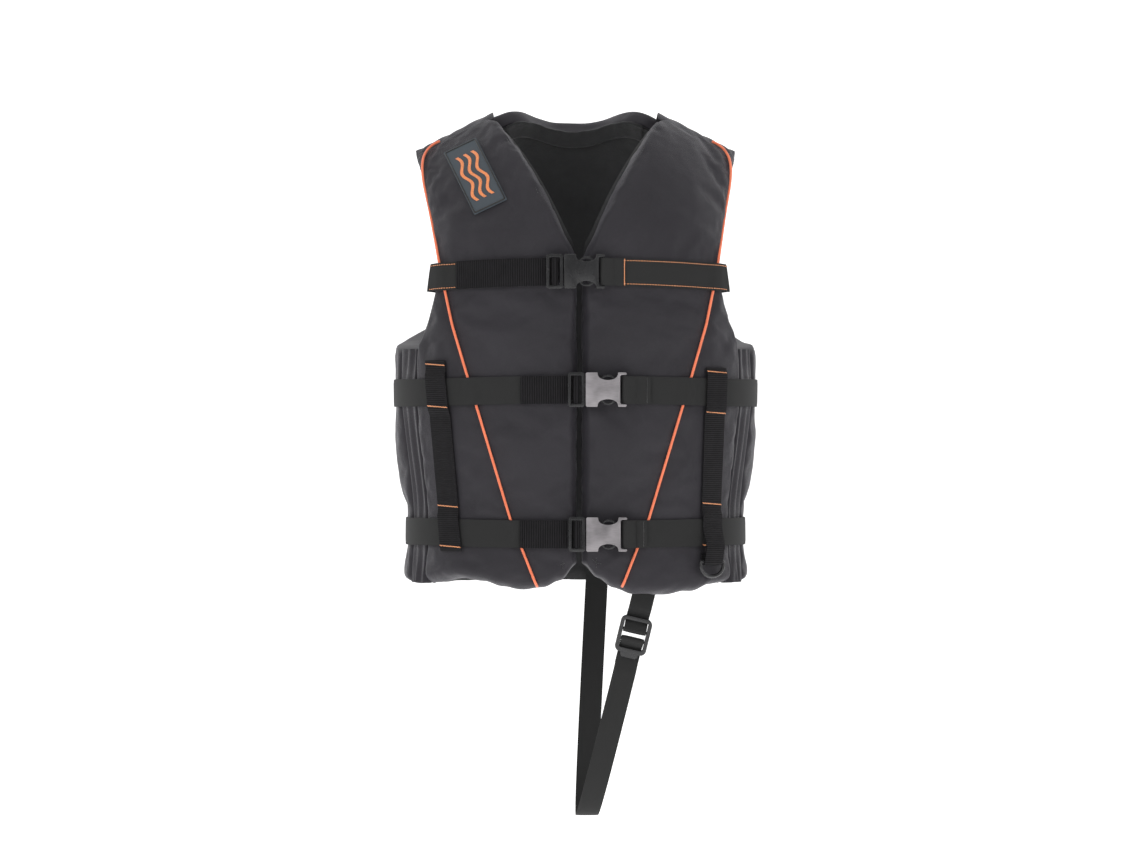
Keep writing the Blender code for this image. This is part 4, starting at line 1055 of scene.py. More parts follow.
def build_uprights(looks):
    """Upright webbing that holds the belts; the left one turns round the ring's bar."""
    # upright webbing with stronger painted rib shade and highlight
    material = stock("upright_webbing", webbing_material, looks, "upright_webbing", looks.rib_pitch, 1.3)
    top_z, low_z = UPRIGHTS["right"][0][1], UPRIGHTS["right"][1][1]
    levels = [mix(top_z, low_z, i / 90) for i in range(91)]
    path = [(upright_centre("right", z), upright_half("right", z)) for z in levels]
    ribbon("upright_webbing_right_cloth", looks, path, material=material,
           stands_for=("upright_webbing_right",))
    ring = ring_frame()
    top_z, stop_z = UPRIGHTS["left"][0][1], RING_BAR_Z + 0.012
    half = np.array(ring.col[0].to_3d()) * WEB_NARROW / 2.0
    levels = [mix(top_z, stop_z, i / 90) for i in range(91)]
    path = []
    for z in levels:
        close = float(ease((z - RING_BAR_Z - 0.012) / 0.030))
        lift = (RING_LIFT + RING_R + CLEARANCE - WEB_LIFT) * (1.0 - close)
        own = upright_half("left", z)
        path.append((upright_centre("left", z, lift), mix(half, own, close)))
    radius = RING_R + 0.0004 + WEB / 2.0
    origin, out = np.array(ring.translation), np.array(-ring.col[1].to_3d())
    up = np.array([0.0, 0.0, 1.0])
    for i in range(17):
        a = radians(mix(0.0, -180.0, i / 16))
        path.append((origin + (out * cos(a) + up * sin(a)) * radius, half))
    path.append((origin - out * radius + up * 0.010, half))
    ribbon("upright_webbing_left_cloth", looks, path, material=material,
           stands_for=("upright_webbing_left",))


# ---------------------------------------------------------------- buckles
BUCKLE_LIFT = 0.0098
FRAME_X = (-0.0137, 0.0047)
FRAME_HALF_Z = 0.0188
FRAME_HALF_Y = 0.0030
FRAME_BAR = 0.0034
CENTRE_BAR_X = -0.0045
CENTRE_BAR_R = 0.0016
SOCKET_X = (0.0055, 0.0430)
SOCKET_HALF_Z = 0.0187
SOCKET_HALF_Y = 0.0048
WINDOW_X = (0.0185, 0.0405)
WINDOW_HALF_Z = 0.0105
CAVITY_HALF_Z = 0.0135
EAR_X = 0.0500
EAR_Z = 0.0160
SOCKET_BAR_X = 0.0480
SOCKET_BAR_R = 0.0015
TONGUE_X = 0.0200
PRONG_HALF_Y = 0.0021
PRONG_OUTLINE = (
    (0.0051, 0.0062), (0.0200, 0.0066), (0.0340, 0.0078), (0.0385, 0.0096), (0.0388, 0.0112),
    (0.0370, 0.0136), (0.0335, 0.0158), (0.0295, 0.0164), (0.0258, 0.0154), (0.0228, 0.0126),
    (0.0205, 0.0098), (0.0175, 0.0092), (0.0051, 0.0094),
)


def arc(centre, radius, start, end, count):
    turns = [radians(mix(start, end, i / count)) for i in range(count + 1)]
    return [(centre[0] + radius * cos(a), centre[1] + radius * sin(a)) for a in turns]


def rounded_box(half_x, half_z, radius, count=6, centre=(0.0, 0.0)):
    points = []
    for sx, sz, start in ((1, 1, 0), (-1, 1, 90), (-1, -1, 180), (1, -1, 270)):
        middle = (centre[0] + sx * (half_x - radius), centre[1] + sz * (half_z - radius))
        points += arc(middle, radius, start, start + 90, count)
    return points


def prism(points, half_depth):
    """Extrude a closed outline in x and z to both sides of y = 0."""
    bm = bmesh.new()
    face = bm.faces.new([bm.verts.new((x, -half_depth, z)) for x, z in points])
    grown = bmesh.ops.extrude_face_region(bm, geom=[face], use_keep_orig=True)
    moved = [item for item in grown["geom"] if isinstance(item, bmesh.types.BMVert)]
    bmesh.ops.translate(bm, verts=moved, vec=(0.0, 2.0 * half_depth, 0.0))
    return bm


def block(low, high):
    bm = bmesh.new()
    bmesh.ops.create_cube(bm, size=1.0)
    bmesh.ops.scale(bm, verts=bm.verts, vec=[b - a for a, b in zip(low, high)])
    bmesh.ops.translate(bm, verts=bm.verts, vec=[(a + b) / 2.0 for a, b in zip(low, high)])
    return bm


def rod(radius, length, axis, centre, sides=20):
    bm = bmesh.new()
    turn = {"x": Matrix.Rotation(pi / 2.0, 4, "Y"), "y": Matrix.Rotation(pi / 2.0, 4, "X")}
    place = Matrix.Translation(centre) @ turn.get(axis, Matrix.Identity(4))
    bmesh.ops.create_cone(bm, cap_ends=True, segments=sides, radius1=radius, radius2=radius,
                          depth=length, matrix=place)
    return bm


def paint_plate_reflection(item, looks):
    """Give the flat front face of a moulding its paler, brushed finish."""
    item.data.materials.append(stock("buckle_plate_reflection", plate_reflection_material, looks))
    front = max(-face.center.y for face in item.data.polygons)
    for face in item.data.polygons:
        if face.normal.y < -0.7 and -face.center.y > front - 0.0006:
            face.material_index = 1


def moulded(name, looks, body_bm, cuts, joins, place, rider, stands_for, edge=0.0005):
    """Cut and join plain solids, then round their edges as a moulding's are."""
    def solid(bm):
        face_outwards(bm)
        mesh = bpy.data.meshes.new("solid")
        bm.to_mesh(mesh)
        bm.free()
        item = bpy.data.objects.new("solid", mesh)
        bpy.context.scene.collection.objects.link(item)
        return item

    item = solid(body_bm)
    tools = []
    for operation, group in (("DIFFERENCE", cuts), ("UNION", joins)):
        for bm in group:
            tool = solid(bm)
            tools.append(tool)
            step = item.modifiers.new("step", "BOOLEAN")
            step.operation = operation
            step.solver = "EXACT"
            step.object = tool
    made = evaluated_mesh(item)
    for used in [item, *tools]:
        bpy.data.objects.remove(used, do_unlink=True)
    bm = bmesh.new()
    bm.from_mesh(made)
    bpy.data.meshes.remove(made)
    bmesh.ops.remove_doubles(bm, verts=bm.verts, dist=0.00002)
    bmesh.ops.dissolve_limit(bm, angle_limit=radians(1.0), verts=bm.verts, edges=bm.edges)
    sharp = [e for e in bm.edges if e.is_manifold and e.calc_face_angle(0.0) > radians(32.0)]
    bmesh.ops.bevel(bm, geom=sharp, offset=edge, offset_type="OFFSET", affect="EDGES", segments=3,
                    profile=0.5, material=-1, clamp_overlap=True)
    bmesh.ops.transform(bm, matrix=place, verts=bm.verts)
    piece = finished(name, bm, plastic(looks), rider, stands_for, "buckle_plastic", angle=40.0)
    return piece


def buckle_place(belt):
    front = float(at_height(0.0, BELT_Z[belt], 0.0)[1])
    return Matrix.Translation((BUCKLE_X[belt], front - BUCKLE_LIFT, BELT_Z[belt]))


def socket_outline():
    left, right = SOCKET_X
    low, high = WINDOW_X
    top = SOCKET_HALF_Z
    middle, reach, bite = (low + high) / 2.0, (high - low) / 2.0, SOCKET_HALF_Z - WINDOW_HALF_Z
    cut = [(middle - reach * cos(radians(t)), top - bite * sin(radians(t)) ** 0.7) for t in range(0, 181, 9)]
    upper = [(left, top - 0.0015), (left + 0.0005, top - 0.0005), (left + 0.0015, top)] + cut
    ear = [(EAR_X - 0.0012, top), (EAR_X - 0.0004, top - 0.0004), (EAR_X, top - 0.0012),
           (EAR_X, EAR_Z), (right + 0.0012, EAR_Z - 0.0003), (right, EAR_Z - 0.0016)]
    half = upper + ear
    return half + [(x, -z) for x, z in reversed(half)]


def build_buckle(belt, looks):
    place = buckle_place(belt)
    name = belt + "_buckle"
    cavity = block((SOCKET_X[0] - 0.004, -SOCKET_HALF_Y + 0.0020, -CAVITY_HALF_Z),
                   (SOCKET_X[1] - 0.0030, SOCKET_HALF_Y - 0.0020, CAVITY_HALF_Z))
    bar = rod(SOCKET_BAR_R, 2.0 * EAR_Z + 0.004, "z", (SOCKET_BAR_X, 0.0, 0.0))
    socket = moulded(name + "_socket_moulding", looks, prism(socket_outline(), SOCKET_HALF_Y), [cavity],
                     [bar], place, "vest", (name + "_socket",), edge=0.0007)
    # only the middle and bottom sockets get the painted reflection; the top one stays dark
    if belt != "top":
        paint_plate_reflection(socket, looks)
    low, high = FRAME_X
    outline = rounded_box((high - low) / 2.0, FRAME_HALF_Z, 0.0034, 6, ((low + high) / 2.0, 0.0))
    window = block((low + FRAME_BAR, -0.02, -FRAME_HALF_Z + FRAME_BAR),
                   (high - FRAME_BAR, 0.02, FRAME_HALF_Z - FRAME_BAR))
    bar = rod(CENTRE_BAR_R, 2.0 * (FRAME_HALF_Z - FRAME_BAR) + 0.003, "z", (CENTRE_BAR_X, 0.0, 0.0))
    tongue = block((high - 0.001, -PRONG_HALF_Y, -0.0024), (TONGUE_X, PRONG_HALF_Y, 0.0024))
    moulded(name + "_male_moulding", looks, prism(outline, FRAME_HALF_Y), [window], [bar, tongue],
            place, belt + "_male", (name + "_male",), edge=0.0008)
    for end, sign in (("upper", 1), ("lower", -1)):
        eye = rod(1.0, 0.02, "y", (0.0, 0.0, 0.0), 24)
        bmesh.ops.scale(eye, verts=eye.verts, vec=(0.0048, 1.0, 0.0019))
        bmesh.ops.translate(eye, verts=eye.verts, vec=(0.0300, 0.0, sign * 0.0121))
        arm = prism([(x, sign * z) for x, z in PRONG_OUTLINE], PRONG_HALF_Y)
        moulded("%s_prong_%s_moulding" % (name, end), looks, arm, [eye], [], place,
                "%s_prong_%s" % (belt, end), ("%s_prong_%s" % (name, end),), edge=0.0004)


# ---------------------------------------------------------------- ring, adjuster and crotch strap
RING_HALF_WIDTH = 0.0178
RING_BAR_Z = -0.4735
RING_LOW_Z = -0.4915
RING_R = 0.0020
RING_LIFT = 0.0060
STRAP_FRONT = Vector((0.0782, -0.0930, -0.4820))
STRAP_LOW = Vector((0.0127, 0.0020, -0.7560))
STRAP_BACK = Vector((0.0280, 0.0985, -0.4860))
STRAP_GROW = 2.6
LOCK_CENTRE_Z = -0.5560
LOCK_HALF_WIDTH = 0.0174
LOCK_TOP = 0.0220
LOCK_FOOT = -0.0190
LOCK_LIP = -0.0240
LOCK_WINDOW = (-0.0138, 0.0178)
LOCK_BARS = (0.0070, -0.0038)
LOCK_BAR_R = 0.0017
LOCK_SIDE = 0.0042
LOCK_HALF_THICK = 0.0022
TAB_SHARE = 0.58
TAB_PASS = ((-0.0036, 0.0240), (-0.0036, 0.0208), (-0.0034, 0.0176), (-0.0012, 0.0146), (0.0012, 0.0122))
GRIP_PASS = (
    (-0.0036, -0.0290), (-0.0038, -0.0250), (-0.0038, -0.0190), (-0.0036, -0.0150),
    (-0.0014, -0.0108), (0.0006, -0.0088),
)
GRIP_TAIL = ((-0.0048, -0.0078), (-0.0060, -0.0120), (-0.0062, -0.0210), (-0.0062, -0.0330))


def tube(name, looks, centres, radius, material, sides=12, closed=False, **details):
    """A round cord through points, with cloth coordinates round and along it."""
    curve = bpy.data.curves.new(name, "CURVE")
    curve.dimensions = "3D"
    curve.bevel_depth = radius
    curve.bevel_resolution = sides // 4
    curve.use_fill_caps = not closed
    spline = curve.splines.new("POLY")
    spline.points.add(len(centres) - 1)
    for point, centre in zip(spline.points, centres):
        point.co = (*centre, 1.0)
    spline.use_cyclic_u = closed
    maker = bpy.data.objects.new(name + "_curve", curve)
    bpy.context.scene.collection.objects.link(maker)
    made = evaluated_mesh(maker)
    bpy.data.objects.remove(maker, do_unlink=True)
    bm = bmesh.new()
    bm.from_mesh(made)
    bpy.data.meshes.remove(made)
    bmesh.ops.remove_doubles(bm, verts=bm.verts, dist=radius * 0.02)
    layer = bm.loops.layers.uv.get("UVMap") or bm.loops.layers.uv.new("cloth")
    line = np.array(centres, float)
    run = np.concatenate([[0.0], np.cumsum(np.linalg.norm(np.diff(line, axis=0), axis=1))])
    for face in bm.faces:
        for loop in face.loops:
            spot = np.array(loop.vert.co)
            near = int(np.argmin(np.linalg.norm(line - spot, axis=1)))
            away = spot - line[near]
            turn = np.arctan2(away[0], -away[1])
            loop[layer].uv = (turn * radius, run[near])
    item = finished(name, bm, material, **details)
    item.data.uv_layers[0].name = "cloth"
    return item


def build_ring(looks):
    """Closed D of round bar, its bow hanging below the webbing."""
    turned = ring_frame()
    half, low = RING_HALF_WIDTH - RING_R, RING_BAR_Z - RING_LOW_Z - RING_R
    bow = [radians(180.0 * i / 40) for i in range(41)]
    line = [(mix(-half + 0.001, half - 0.001, i / 8), 0.0) for i in range(9)]
    line += [(half - 0.0003, -0.0004), (half, -0.0015), (half, -0.003)]
    line += [(half * cos(a), -0.0045 - (low - 0.0045) * sin(a)) for a in bow]
    line += [(-half, -0.003), (-half, -0.0015), (-half + 0.0003, -0.0004)]
    centres = [turned @ Vector((x, 0.0, z)) for x, z in line]
    tube("d_ring_moulding", looks, centres, RING_R, plastic(looks), 16, True,
         body="d_ring", stands_for=("d_ring",), slot="buckle_plastic")


def strap_point(share):
    """Middle line of the hanging loop, 0 at the front hem, 1 at the back hem."""
    swing = 2.0 * share - 1.0
    end = STRAP_BACK if swing > 0.0 else STRAP_FRONT
    reach = asinh(abs(swing) * sinh(STRAP_GROW)) / STRAP_GROW
    rise = (cosh(STRAP_GROW * reach) - 1.0) / (cosh(STRAP_GROW) - 1.0)
    across, depth = mix(STRAP_LOW.x, end.x, rise), mix(STRAP_LOW.y, end.y, reach)
    return Vector((across, depth, mix(STRAP_LOW.z, end.z, rise)))


def strap_frame(share):
    ahead = (strap_point(min(share + 0.002, 1.0)) - strap_point(max(share - 0.002, 0.0))).normalized()
    side = Vector((1.0, 0.0, 0.0))
    return strap_point(share), ahead, (side - ahead * side.dot(ahead)).normalized()


def lock_share():
    low, high = 0.0, 0.5
    for _ in range(40):
        middle = (low + high) / 2.0
        if strap_point(middle).z > LOCK_CENTRE_Z:
            low = middle
        else:
            high = middle
    return middle


def lock_place():
    point, ahead, side = strap_frame(lock_share())
    turned = Matrix((side, side.cross(ahead), -ahead)).transposed().to_4x4()
    if turned.col[1].y < 0.0:
        turned = Matrix((side, ahead.cross(side), -ahead)).transposed().to_4x4()
    turned.translation = point
    return turned


def build_lock(looks):
    """Ladder lock: rounded frame, two grip bars and a narrowing thumb lip."""
    middle = (LOCK_TOP + LOCK_FOOT) / 2.0
    outline = rounded_box(LOCK_HALF_WIDTH, (LOCK_TOP - LOCK_FOOT) / 2.0, 0.0065, 8, (0.0, middle))
    inner = LOCK_HALF_WIDTH - LOCK_SIDE
    low, high = LOCK_WINDOW
    window = prism(rounded_box(inner, (high - low) / 2.0, 0.002, 4, (0.0, (low + high) / 2.0)), 0.02)
    bars = [rod(LOCK_BAR_R, 2.0 * inner + 0.003, "x", (0.0, 0.0, height)) for height in LOCK_BARS]
    lip = ((-0.0105, LOCK_FOOT + 0.002), (-0.0092, LOCK_FOOT - 0.0035), (-0.0070, LOCK_LIP),
           (0.0070, LOCK_LIP), (0.0092, LOCK_FOOT - 0.0035), (0.0105, LOCK_FOOT + 0.002))
    bars.append(prism(lip, LOCK_HALF_THICK - 0.0004))
    moulded("ladder_lock_moulding", looks, prism(outline, LOCK_HALF_THICK), [window], bars, lock_place(),
            "ladder_lock", ("ladder_lock",), edge=0.0008)


def lock_poses(points):
    turned = lock_place()
    half = np.array(turned.col[0].to_3d()) * WEB_NARROW / 2.0
    return [(np.array(turned @ Vector((0.0, -out, up))), half) for out, up in points]


def bar_turn(bar, start, end, count=20):
    """Turn round one of the adjuster's bars, angles in degrees with 0 in front and 90 on top."""
    radius = LOCK_BAR_R + CLEARANCE + WEB / 2.0
    turns = [radians(mix(start, end, i / count)) for i in range(count + 1)]
    return [(radius * cos(a), LOCK_BARS[bar] + radius * sin(a)) for a in turns]


def build_crotch_strap(looks):
    """Short sewn webbing to the adjuster, and one long strap from it back to the rear hem."""
    material = webbing(looks)
    share = lock_share()
    path = []
    for i in range(17):
        point, _, side = strap_frame(share * TAB_SHARE * i / 16)
        path.append((np.array(point), np.array(side) * WEB_NARROW / 2.0))
    path += lock_poses(list(TAB_PASS) + bar_turn(0, 35, -190))
    tab = ribbon("crotch_tab_webbing", looks, path, material=material, body="")
    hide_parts("crotch_tab")
    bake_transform(tab)
    path = lock_poses(list(reversed(GRIP_TAIL)) + bar_turn(1, 185, -40) + list(reversed(GRIP_PASS)))
    start = share + 0.060
    for i in range(160):
        point, _, side = strap_frame(mix(start, 1.0, i / 159))
        path.append((np.array(point), np.array(side) * WEB_NARROW / 2.0))
    strap = ribbon("crotch_strap_webbing", looks, path, material=material, body="")
    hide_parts("crotch_strap", "crotch_strap_grip")
    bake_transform(strap)


# ---------------------------------------------------------------- trim
def build_piping(looks):
    """Covered cord sewn into the seam of each front panel, over the shoulder to the hem."""
    material = stock("piping_twill", piping_material, looks)
    knots = np.array(PIPING_LINE)
    run = np.concatenate([[0.0], np.cumsum(np.linalg.norm(np.diff(knots, axis=0), axis=1))])
    places = np.linspace(0.0, run[-1], 240)
    z, x = (np.interp(places, run, knots[:, i]) for i in range(2))
    for _ in range(3):
        z[1:-1], x[1:-1] = ((line[:-2] + 2.0 * line[1:-1] + line[2:]) / 4.0 for line in (z, x))
    for side, name in ((1.0, "piping_left"), (-1.0, "piping_right")):
        flat = at_height(angle_at(x, z), z, np.zeros_like(z))
        depth = front_curl(flat, side, 0.8) - 0.0009
        centres = at_height(angle_at(x, z), z, depth)
        centres[:, 0] *= side
        centres = [tuple(point) for point in centres]
        tube(name + "_cord", looks, centres, PIPING_R, material, 12, False,
             stands_for=(name,), slot="piping_cord")


def patch_spot(across, down):
    right = np.array([cos(PATCH_TILT), sin(PATCH_TILT)])
    along_patch = np.array([sin(PATCH_TILT), -cos(PATCH_TILT)])
    return np.array(PATCH_CENTRE) + np.outer(across, right) + np.outer(down, along_patch)


def laid_on_chest(bm):
    """Bend a flat piece, drawn in x and y with z as its height, onto the shoulder."""
    flat = coordinates(bm.verts)
    spots = patch_spot(flat[:, 0], flat[:, 1])
    move_to(bm, at_front(spots[:, 0], spots[:, 1], -flat[:, 2]))


def rounded_plate(width, length, radius, bottom, top, cell=0.0022):
    """Flat plate with rounded corners, cut into small squares so that it can bend."""
    bm = bmesh.new()
    outline = rounded_box(width / 2.0, length / 2.0, radius, 6)
    bm.faces.new([bm.verts.new((x, y, bottom)) for x, y in outline])
    for axis, size in ((0, width), (1, length)):
        count = int(size / cell)
        for i in range(1, count):
            spot, direction = [0.0, 0.0, 0.0], [0.0, 0.0, 0.0]
            spot[axis] = -size / 2.0 + size * i / count
            direction[axis] = 1.0
            bmesh.ops.bisect_plane(bm, geom=[*bm.verts, *bm.edges, *bm.faces], dist=1e-7,
                                   plane_co=spot, plane_no=direction)
    grown = bmesh.ops.extrude_face_region(bm, geom=bm.faces[:], use_keep_orig=True)
    moved = [item for item in grown["geom"] if isinstance(item, bmesh.types.BMVert)]
    bmesh.ops.translate(bm, verts=moved, vec=(0.0, 0.0, top - bottom))
    return bm


def build_patch(looks):
    """Moulded rubber patch: sunk face, raised border and three raised waves."""
    width, length = PATCH_SIZE
    bm = rounded_plate(width, length, 0.0012, 0.0010, 0.0022)
    laid_on_chest(bm)
    plate = finished("shoulder_patch_plate", bm, stock("patch_rubber", rubber_material, looks),
                     stands_for=("shoulder_patch",), slot="patch_rubber", angle=40.0)
    inner = [(x, y, 0.0024) for x, y in rounded_box(width / 2.0 - 0.0016, length / 2.0 - 0.0016, 0.0012, 4)]
    line = []
    for start, end in zip(inner, inner[1:] + inner[:1]):
        steps = max(1, int(np.hypot(end[0] - start[0], end[1] - start[1]) / 0.003))
        line += [[mix(a, b, i / steps) for a, b in zip(start, end)] for i in range(steps)]
    line = np.array(line)
    spots = patch_spot(line[:, 0], line[:, 1])
    centres = at_front(spots[:, 0], spots[:, 1], -line[:, 2])
    # the border's near-black colour is painted shade along the raised rim
    tube("shoulder_patch_border", looks, [tuple(c) for c in centres], 0.0008,
         stock("patch_rim_painted_shade", rim_painted_shade_material, looks), 12, True, slot="patch_rubber")
    material = stock("patch_print", thread_material, "patch_print", (0.80, 0.25, 0.08))
    for row in range(3):
        bm = bmesh.new()
        bmesh.ops.create_grid(bm, x_segments=40, y_segments=2, size=0.5)
        for vert in bm.verts:
            share = vert.co.x + 0.5
            lift = 0.0028 * sin(tau * 2.0 * share)
            run, rise = vert.co.x * 0.052, vert.co.y * 0.0034 + lift + (row - 1.0) * 0.0090
            vert.co = (rise, run, 0.0022)
        grown = bmesh.ops.extrude_face_region(bm, geom=bm.faces[:], use_keep_orig=True)
        moved = [item for item in grown["geom"] if isinstance(item, bmesh.types.BMVert)]
        bmesh.ops.translate(bm, verts=moved, vec=(0.0, 0.0, 0.0007))
        laid_on_chest(bm)
        finished("shoulder_patch_wave_%d" % (row + 1), bm, material, slot="patch_rubber", angle=40.0)
    return plate


# ---------------------------------------------------------------- stitching
def thread_bits(bits, radius):
    """Short stitches, each from (middle, direction, outward normal, length)."""
    whole = bmesh.new()
    for middle, direction, normal, length in bits:
        ahead = Vector(direction).normalized()
        up = Vector(normal).normalized()
        side = up.cross(ahead).normalized()
        up = ahead.cross(side)
        place = Matrix((ahead, side, up)).transposed().to_4x4()
        place.translation = Vector(middle)
        place = place @ Matrix.Diagonal((length / 2.0, radius, radius * 0.8, 1.0))
        bmesh.ops.create_uvsphere(whole, u_segments=6, v_segments=5, radius=1.0,
                                  matrix=place @ Matrix.Rotation(pi / 2.0, 4, "Y"))
    return whole


def row_of_bits(line, normals, pitch, length):
    """Even stitches along a line of points."""
    line, normals = np.array(line, float), np.array(normals, float)
    run = np.concatenate([[0.0], np.cumsum(np.linalg.norm(np.diff(line, axis=0), axis=1))])
    bits = []
    for place in np.arange(pitch / 2.0, run[-1] - pitch / 4.0, pitch):
        middle = np.array([np.interp(place, run, line[:, i]) for i in range(3)])
        ahead = np.array([np.interp(place + 0.001, run, line[:, i]) for i in range(3)]) - np.array(
            [np.interp(place - 0.001, run, line[:, i]) for i in range(3)])
        normal = np.array([np.interp(place, run, normals[:, i]) for i in range(3)])
        bits.append((middle, ahead, normal, length))
    return bits


def tack_bits(left, right, normal, count=15, lean=0.0011):
    """Zigzag of a bar tack from one edge of the webbing to the other."""
    left, right, normal = np.array(left), np.array(right), np.array(normal)
    across = (right - left) / np.linalg.norm(right - left)
    up = np.cross(normal, across)
    up /= np.linalg.norm(up)
    bits = []
    for i in range(count):
        lean_now = lean if i % 2 else -lean
        middle = mix(left, right, (i + 0.5) / count)
        step = (right - left) / count
        bits.append((middle, step * 1.6 + up * lean_now, normal, np.linalg.norm(step) * 1.5))
    return bits


def belt_edge_rows(belt, start_x, end_x, lift, inset=0.0024):
    """Stitch lines along both edges of a belt."""
    rows = []
    for sign in (1.0, -1.0):
        line, normals = [], []
        for i in range(61):
            angle = angle_of(belt, mix(start_x, end_x, i / 60))
            centre, half = belt_pose(belt, angle, lift)
            line.append(centre + half * sign * (1.0 - inset / (WEB_WIDTH / 2.0)))
            spot = line[-1]
            normals.append(normal_at_front(spot[0], spot[2]))
        rows.append((line, normals))
    return rows


def build_belt_stitching(looks):
    """Orange edge stitching and bar tack of the top belt, dark box stitches of the others."""
    lift = UNDER + WEB / 2.0 + 0.0001
    bits = []
    for start, end in ((0.047, 0.1615), (-0.128, -0.1615)):
        for line, normals in belt_edge_rows("top", start, end, lift):
            bits += row_of_bits(line, normals, looks.stitch_pitch, looks.stitch_pitch * 0.78)
    centre, half = belt_pose("top", angle_of("top", 0.0475), OVER + WEB / 2.0)
    normal = normal_at_front(centre[0], centre[2])
    bits += tack_bits(centre + half * 0.95, centre - half * 0.95, normal, 16, 0.0012)
    item = finished("top_belt_stitching", thread_bits(bits, 0.00042), orange_thread(looks))
    dark = []
    for belt in ("middle", "bottom"):
        for x in (FOLD_END_X[belt] - 0.004, FOLD_END_X[belt] - 0.018):
            centre, half = belt_pose(belt, angle_of(belt, x), OVER + WEB / 2.0)
            normal = normal_at_front(centre[0], centre[2])
            dark += tack_bits(centre + half * 0.9, centre - half * 0.9, normal, 14, 0.0008)
    finished("belt_fold_stitching", thread_bits(dark, 0.0004), dark_thread(looks), slot="belt_webbing")


def build_upright_tacks(looks):
    """Four orange bar tacks across each upright webbing."""
    levels = {"left": (-0.2665, -0.3105, -0.4100, -0.4560), "right": (-0.2585, -0.3040, -0.4125, -0.4565)}
    for side, heights in levels.items():
        bits = []
        for z in heights:
            centre = upright_centre(side, z, WEB / 2.0 + 0.0001)
            half = upright_half(side, z)
            normal = np.cross(half, np.array([0.0, 0.0, 1.0]))
            if normal[1] > 0.0:
                normal = -normal
            tilt = np.array([0.0, 0.0, 0.0009])
            bits += tack_bits(centre - half * 0.97 + tilt, centre + half * 0.97 - tilt, normal, 15)
        item = finished("upright_tacks_" + side, thread_bits(bits, 0.00052), orange_thread(looks))


def build_edge_stitching(looks):
    """Dark stitching beside the front edges, the neck edges and the hem."""
    bits = []
    for side in (1.0, -1.0):
        rows = (
            (0.045, np.linspace(0.05, 0.985, 260), "across"),
            (0.975, np.linspace(0.03, 0.97, 120), "down"),
        )
        for fixed, run, kind in rows:
            across = np.full_like(run, fixed) if kind == "across" else run
            down = run if kind == "across" else np.full_like(run, fixed)
            angle, z = front_seat(across, down, side)
            line = at_height(angle, z, np.full_like(z, 0.0008))
            fall = np.maximum(ridge(x_on_form(angle, z)) - z, 0.0)
            normals = outward(angle, fall)
            line[:, 0] *= side
            normals[:, 0] *= side
            bits += row_of_bits(line, normals, looks.stitch_pitch * 1.1, looks.stitch_pitch * 0.8)
    finished("panel_edge_stitching", thread_bits(bits, 0.0004), dark_thread(looks), slot="shell_cloth")


# ---------------------------------------------------------------- stage
BACKDROP_RUN = 24.0                     # floor and lower wall, measured along the sheet
BACKDROP_FRONT = 9.0
BACKDROP_BEND = 16.5
BACKDROP_RADIUS = 2.5
BACKDROP_HALF_WIDTH = 14.0
WALL_STRETCH = 3.0
LIGHT_AIM = (0.0, 0.0, -0.28)
LIGHTS = (                              # name, place, watts, size
    ("key", (-1.9, -2.6, 1.2), 34.0, 1.8),
    ("fill", (2.3, -2.4, 0.6), 22.0, 2.0),
    ("top", (0.0, -0.2, 2.4), 26.0, 2.2),
    ("rim_left", (-2.2, 1.3, 0.4), 16.0, 1.4),
    ("rim_right", (2.2, 1.3, 0.4), 16.0, 1.4),
)
SENSOR_WIDTH = 36.0
CHEST_DEPTH = 0.05                      # how much nearer the chest is than the vest's middle


def backdrop_mesh(floor_level):
    """Floor that bends up into a wall."""
    """Pale floor running up into a pale backdrop, soft lights and the camera."""
    bm = bmesh.new()
    bmesh.ops.create_grid(bm, x_segments=1, y_segments=96, size=1.0)
    for vert in bm.verts:
        share = (vert.co.y + 1.0) / 2.0
        past = share * BACKDROP_RUN - BACKDROP_BEND
        turn = min(max(past, 0.0) / BACKDROP_RADIUS, pi / 2.0)
        wall = max(0.0, past - BACKDROP_RADIUS * pi / 2.0)
        y = BACKDROP_BEND - BACKDROP_FRONT + min(past, 0.0) + BACKDROP_RADIUS * sin(turn)
        z = BACKDROP_RADIUS * (1.0 - cos(turn)) + wall * WALL_STRETCH
        vert.co = (vert.co.x * BACKDROP_HALF_WIDTH, y, z + floor_level)
    mesh = bpy.data.meshes.new("backdrop")
    bm.to_mesh(mesh)
    bm.free()
    mesh.shade_smooth()
    return mesh


def paper_material(looks):
    """Pale paper that gives off a little light of its own."""
    material, tree, shader = new_material("backdrop_paper")
    speckle = noise_at(tree, node(tree, "ShaderNodeTexCoord").outputs["Object"], 3.0, 2.0)
    link(tree, ramp(tree, speckle, ((0.3, (0.90, 0.90, 0.90)), (0.7, (0.94, 0.94, 0.94)))),
         shader.inputs["Base Color"])
    shader.inputs["Roughness"].default_value = 0.9
    shader.inputs["Specular IOR Level"].default_value = 0.1
    shader.inputs["Emission Color"].default_value = (1.0, 1.0, 1.0, 1.0)
    shader.inputs["Emission Strength"].default_value = looks.backdrop_glow
    return material


def add_lights(looks):
    """Soft area lights, and even light from all round."""
    for name, place, power, size in LIGHTS:
        data = bpy.data.lights.new(name, "AREA")
        data.energy = power
        data.size = size
        lamp = bpy.data.objects.new(name, data)
        lamp.location = place
        lamp.rotation_euler = (Vector(LIGHT_AIM) - Vector(place)).to_track_quat("-Z", "Y").to_euler()
        bpy.context.scene.collection.objects.link(lamp)
    world = bpy.data.worlds.new("studio")
    world.use_nodes = True
    world.node_tree.nodes["Background"].inputs["Color"].default_value = (1.0, 1.0, 1.0, 1.0)
    world.node_tree.nodes["Background"].inputs["Strength"].default_value = looks.world_light
    bpy.context.scene.world = world


